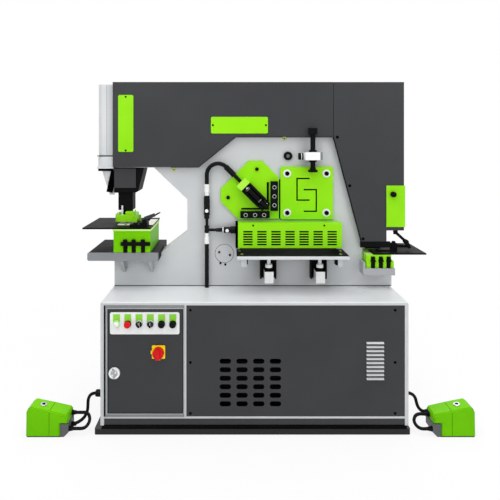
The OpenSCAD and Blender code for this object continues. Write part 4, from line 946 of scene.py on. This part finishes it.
class IRONWORKER_OT_pipe_parts(bpy.types.Operator):
    """Nuts, rings and caps of the hydraulic line"""

    bl_idname = "ironworker.pipe_parts"
    bl_label = "Pipe fittings"

    def execute(self, context):
        x, y = PIPE
        up, across = (0, 0, 1), (1, 0, 0)
        rings = (
            (903, 14.4), (912, 13.8), (921, 13.8), (930, 14.4),
            (1189, 14.6), (1198, 14.2), (1207, 14.2), (1216, 14.2), (1224, 14.6),
        )
        dots = (at(x, y - 16.8, 1085, FRONT), at(-139, y - 15.8, CROSSING_Z - 2, FRONT))
        build(
            "pipe_rings", "machine", "white", "white",
            *((band, at(x, y, z), 9, r, 4, 0.8, 28) for z, r in rings),
            (band, at(x, y, 1168), 9, 11.5, 14, 1, 28),
            (band, at(-165, y, CROSSING_Z, across), 8, 15.6, 6, 0.8, 28),
            *((drum, dot, 9.5, 9.5, 2.6, 24, 0.8) for dot in dots),
        )
        nuts = (
            (x, 964, up, 14.5, 14), (x, 990, up, 14.5, 12), (x, 1042, up, 16, 14), (x, 1158, up, 16, 9),
            (-200, CROSSING_Z, across, 11.5, 14), (-106, CROSSING_Z, across, 16.5, 14),
        )
        # The crimped sleeve at the hose's lower end comes last
        end, down = Vector((-146.2, y, 1327.2)), DOWNHILL
        build(
            "pipe_nuts", "machine", "black", "gloss",
            *((drum, at(px, y, pz, axis), r, r, height, 6, 1) for px, pz, axis, r, height in nuts),
            (drum, at(-159, y, CROSSING_Z, across), 16.4, 16.4, 38, 28, 1.5),
            (drum, at(-121, y, CROSSING_Z, across), 20, 20, 28, 28, 2),
            *((band, at(*(end + down * along), down), 10, 16.6, 5, 1.2, 32) for along in (0, 61)),
            (drum, at(*(end + down * 5), down), 14.4, 14.4, 57, 28),
        )
        return {"FINISHED"}


class IRONWORKER_OT_notcher_parts(bpy.types.Operator):
    """Stop bars on the notching table and the bolts of its block"""

    bl_idname = "ironworker.notcher_parts"
    bl_label = "Notching station"

    def execute(self, context):
        z = NOTCH_TOP
        build(
            "notch_stops", *COAL,
            (block, (700, -84, z), (800, -46, z + 7), 1.5),
            (block, (776, -76, z), (812, -46, z + 42), 3),
            (block, (812, -70, z + 20), (846, -52, z + 34), 2),
            (block, (846, 30, z), (906, 60, z + 10), 1.5),
            (hex_head, at(794, -61, z + 42), 10, 8),
            *((drum, at(x, -140, 814), 15, 15, 5, 24, 1) for x in (658, 701, 743)),
            *((drum, at(x, -140, 819), 11, 11, 13, 6, 1) for x in (658, 701, 743)),
        )
        return {"FINISHED"}


class IRONWORKER_OT_pedal_parts(bpy.types.Operator):
    """Knobs and split lines of the two pedals"""

    bl_idname = "ironworker.pedal_parts"
    bl_label = "Pedals"

    def execute(self, context):
        knobs, recesses, lines = [], [], []
        for side, end in PEDALS:
            up = Vector((side * 0.198, 0, 0.98)).normalized()
            knob = at(end + side * 73, PEDAL_Y + 50, 136.6, up)
            knobs.append((band, knob, 8, 17, 5, 1.4, 36))
            recesses.append((drum, knob, 8.6, 8.6, 6.4, 6, 0.6))
            x = end + side * 118
            lines.append((block, (x - 0.7, PEDAL_Y - 0.25, 8), (x + 0.7, PEDAL_Y + 0.4, 121)))
            lines.append((block, (x - 0.7, PEDAL_Y + 8, 127.5), (x + 0.7, PEDAL_Y + 92, 128.35)))
        # Black discs in the knobs' recesses and black lines at the hoods' splits, painted shade
        build("pedal_lines", *DARK, *recesses, *lines)
        build("pedal_knob_rings", "machine", "steel", "bolt", *knobs)
        return {"FINISHED"}


class IRONWORKER_OT_stage(bpy.types.Operator):
    """Pale floor, soft lamps, white surroundings and the camera"""

    bl_idname = "ironworker.stage"
    bl_label = "Studio"

    def execute(self, context):
        studio = context.scene.ironworker_studio
        scene = context.scene
        scene.view_settings.view_transform = "Standard"
        bm = bmesh.new()
        bmesh.ops.create_circle(bm, cap_ends=True, segments=64, radius=FLOOR_RADIUS)
        mesh = bpy.data.meshes.new("floor")
        bm.to_mesh(mesh)
        bm.free()
        mesh.materials.append(self.floor_paint())
        placed("floor", mesh)
        scene.world = bpy.data.worlds.new("Studio")
        self.surroundings(scene.world, studio.sky)
        for name, place, aim, size, power in (
            ("key", (-2.6, -4.7, 3.5), (0, 0, 0.8), 3.2, studio.key),
            ("fill", (4.0, -4.2, 2.4), (0, 0, 0.8), 3.4, studio.fill),
            ("overhead", (0, -0.9, 4.6), (0, -0.9, 0), 5.0, studio.overhead),
            ("back", (0.5, 3.8, 3.8), (0, 0, 0.9), 3.0, studio.fill),
        ):
            lamp = bpy.data.lights.new(name, "AREA")
            lamp.size = size
            lamp.energy = power
            ob = placed(name, lamp)
            ob.location = place
            ob.rotation_euler = (Vector(aim) - Vector(place)).to_track_quat("-Z", "Y").to_euler()
        lens = bpy.data.cameras.new("camera")
        lens.sensor_width = 36
        lens.lens = studio.lens
        lens.shift_x = studio.shift_x
        lens.shift_y = studio.shift_y
        camera = placed("camera", lens)
        camera.location = EYE
        camera.rotation_euler = (math.radians(90), 0, 0)
        scene.camera = camera
        return {"FINISHED"}

    def seen(self, tree):
        """1 on what the camera, a reflection or a clear piece shows, and 0 on what lights the object."""
        path = add(tree, "ShaderNodeLightPath").outputs
        rays = path["Is Camera Ray"]
        for kind in ("Is Glossy Ray", "Is Transmission Ray"):
            rays = add(tree, "ShaderNodeMath", {0: rays, 1: path[kind]}, operation="MAXIMUM").outputs[0]
        return rays

    def floor_paint(self):
        """Pale floor that keeps the object's shadow and runs out to white."""
        mat, tree, place = blank("Studio floor")
        away = add(tree, "ShaderNodeVectorMath", {0: place}, operation="LENGTH").outputs["Value"]
        # The share of plain white grows from near the object to the open floor
        inputs = {"Value": away, "From Min": 1.2, "From Max": 2.6, "To Min": 0.84, "To Max": 1.0}
        share = add(tree, "ShaderNodeMapRange", inputs).outputs["Result"]
        share = add(tree, "ShaderNodeMath", {0: share, 1: self.seen(tree)}, operation="MULTIPLY").outputs[0]
        matt = add(tree, "ShaderNodeBsdfDiffuse", {"Color": (0.9, 0.9, 0.9, 1)})
        white = add(tree, "ShaderNodeEmission", {"Color": WHITE, "Strength": 1.0})
        both = add(tree, "ShaderNodeMixShader", {0: share, 1: matt.outputs[0], 2: white.outputs[0]})
        add(tree, "ShaderNodeOutputMaterial", {"Surface": both.outputs[0]})
        return mat

    def surroundings(self, world, strength):
        """Soft grey light on the object, plain white behind it."""
        world.use_nodes = True
        tree = world.node_tree
        tree.nodes.clear()
        light, white = (
            add(tree, "ShaderNodeBackground", {"Color": WHITE, "Strength": power}) for power in (strength, 1.0)
        )
        both = add(tree, "ShaderNodeMixShader", {0: self.seen(tree), 1: light.outputs[0], 2: white.outputs[0]})
        add(tree, "ShaderNodeOutputWorld", {"Surface": both.outputs[0]})


def hex_colour(name, text, code):
    """A setting that holds an sRGB hex colour."""
    return bpy.props.StringProperty(name=name, description=text, default=code)


def number(name, text, value, unit="NONE", low=0.0):
    """A setting that holds a number."""
    return bpy.props.FloatProperty(name=name, description=text, default=value, unit=unit, min=low)


class IronworkerColours(bpy.types.PropertyGroup):
    """Colours of the paints."""

    shell_low: hex_colour("Shell, darker", "Darker tone of the light grey paint", "#C2C5C7")
    shell_high: hex_colour("Shell, paler", "Paler tone of the light grey paint", "#CCCED0")
    cover_low: hex_colour("Cover, darker", "Darker tone of the charcoal paint", "#2F3033")
    cover_high: hex_colour("Cover, paler", "Paler tone of the charcoal paint", "#343538")
    accent_low: hex_colour("Accent, darker", "Darker tone of the lime paint", "#8CDE0C")
    accent_high: hex_colour("Accent, paler", "Paler tone of the lime paint", "#98E812")


class IronworkerSizes(bpy.types.PropertyGroup):
    """Sizes of the small parts."""

    panel_screw: number("Panel screw", "Radius of the panel screws", 0.0065, "LENGTH")
    cover_screw: number("Cover screw", "Radius of the cover screws", 0.008, "LENGTH")
    cable: number("Cable", "Diameter of the pedal cables", 0.016, "LENGTH")


class IronworkerStudio(bpy.types.PropertyGroup):
    """Light and camera."""

    sky: number("Sky", "Strength of the soft light from all round", 0.42)
    key: number("Key lamp", "Power of the main lamp", 54, "POWER")
    fill: number("Fill lamp", "Power of the lamps at the right and behind", 58, "POWER")
    overhead: number("Overhead lamp", "Power of the large lamp above", 175, "POWER")
    lens: number("Lens", "Focal length in millimetres", 35.78, low=1.0)
    shift_x: number("Shift across", "Sideways shift of the lens", 0.038, low=-1.0)
    shift_y: number("Shift up", "Upward shift of the lens", -0.22, low=-1.0)


class IRONWORKER_PT_panel(bpy.types.Panel):
    """Lists the pieces and their settings"""

    bl_idname = "IRONWORKER_PT_panel"
    bl_label = "Ironworker"
    bl_space_type = "VIEW_3D"
    bl_region_type = "UI"
    bl_category = "Ironworker"

    def draw(self, context):
        for group in GROUPS:
            settings = getattr(context.scene, group)
            for name in settings.__annotations__:
                self.layout.prop(settings, name)
        for step in STEPS:
            self.layout.operator(step.bl_idname)


GROUPS = {
    "ironworker_colours": IronworkerColours,
    "ironworker_sizes": IronworkerSizes,
    "ironworker_studio": IronworkerStudio,
}
STEPS = (
    IRONWORKER_OT_finishes,
    IRONWORKER_OT_cables,
    IRONWORKER_OT_bodywork,
    IRONWORKER_OT_fasteners,
    IRONWORKER_OT_controls,
    IRONWORKER_OT_punch_parts,
    IRONWORKER_OT_shear_parts,
    IRONWORKER_OT_pipe_parts,
    IRONWORKER_OT_notcher_parts,
    IRONWORKER_OT_pedal_parts,
    IRONWORKER_OT_stage,
)


def register():
    for cls in (*GROUPS.values(), *STEPS, IRONWORKER_PT_panel):
        bpy.utils.register_class(cls)
    for name, group in GROUPS.items():
        setattr(bpy.types.Scene, name, bpy.props.PointerProperty(type=group))


def unregister():
    for name in GROUPS:
        delattr(bpy.types.Scene, name)
    for cls in reversed((*GROUPS.values(), *STEPS, IRONWORKER_PT_panel)):
        bpy.utils.unregister_class(cls)


def main():
    register()
    for step in STEPS:
        family, name = step.bl_idname.split(".")
        getattr(getattr(bpy.ops, family), name)()


if __name__ == "__main__":
    main()
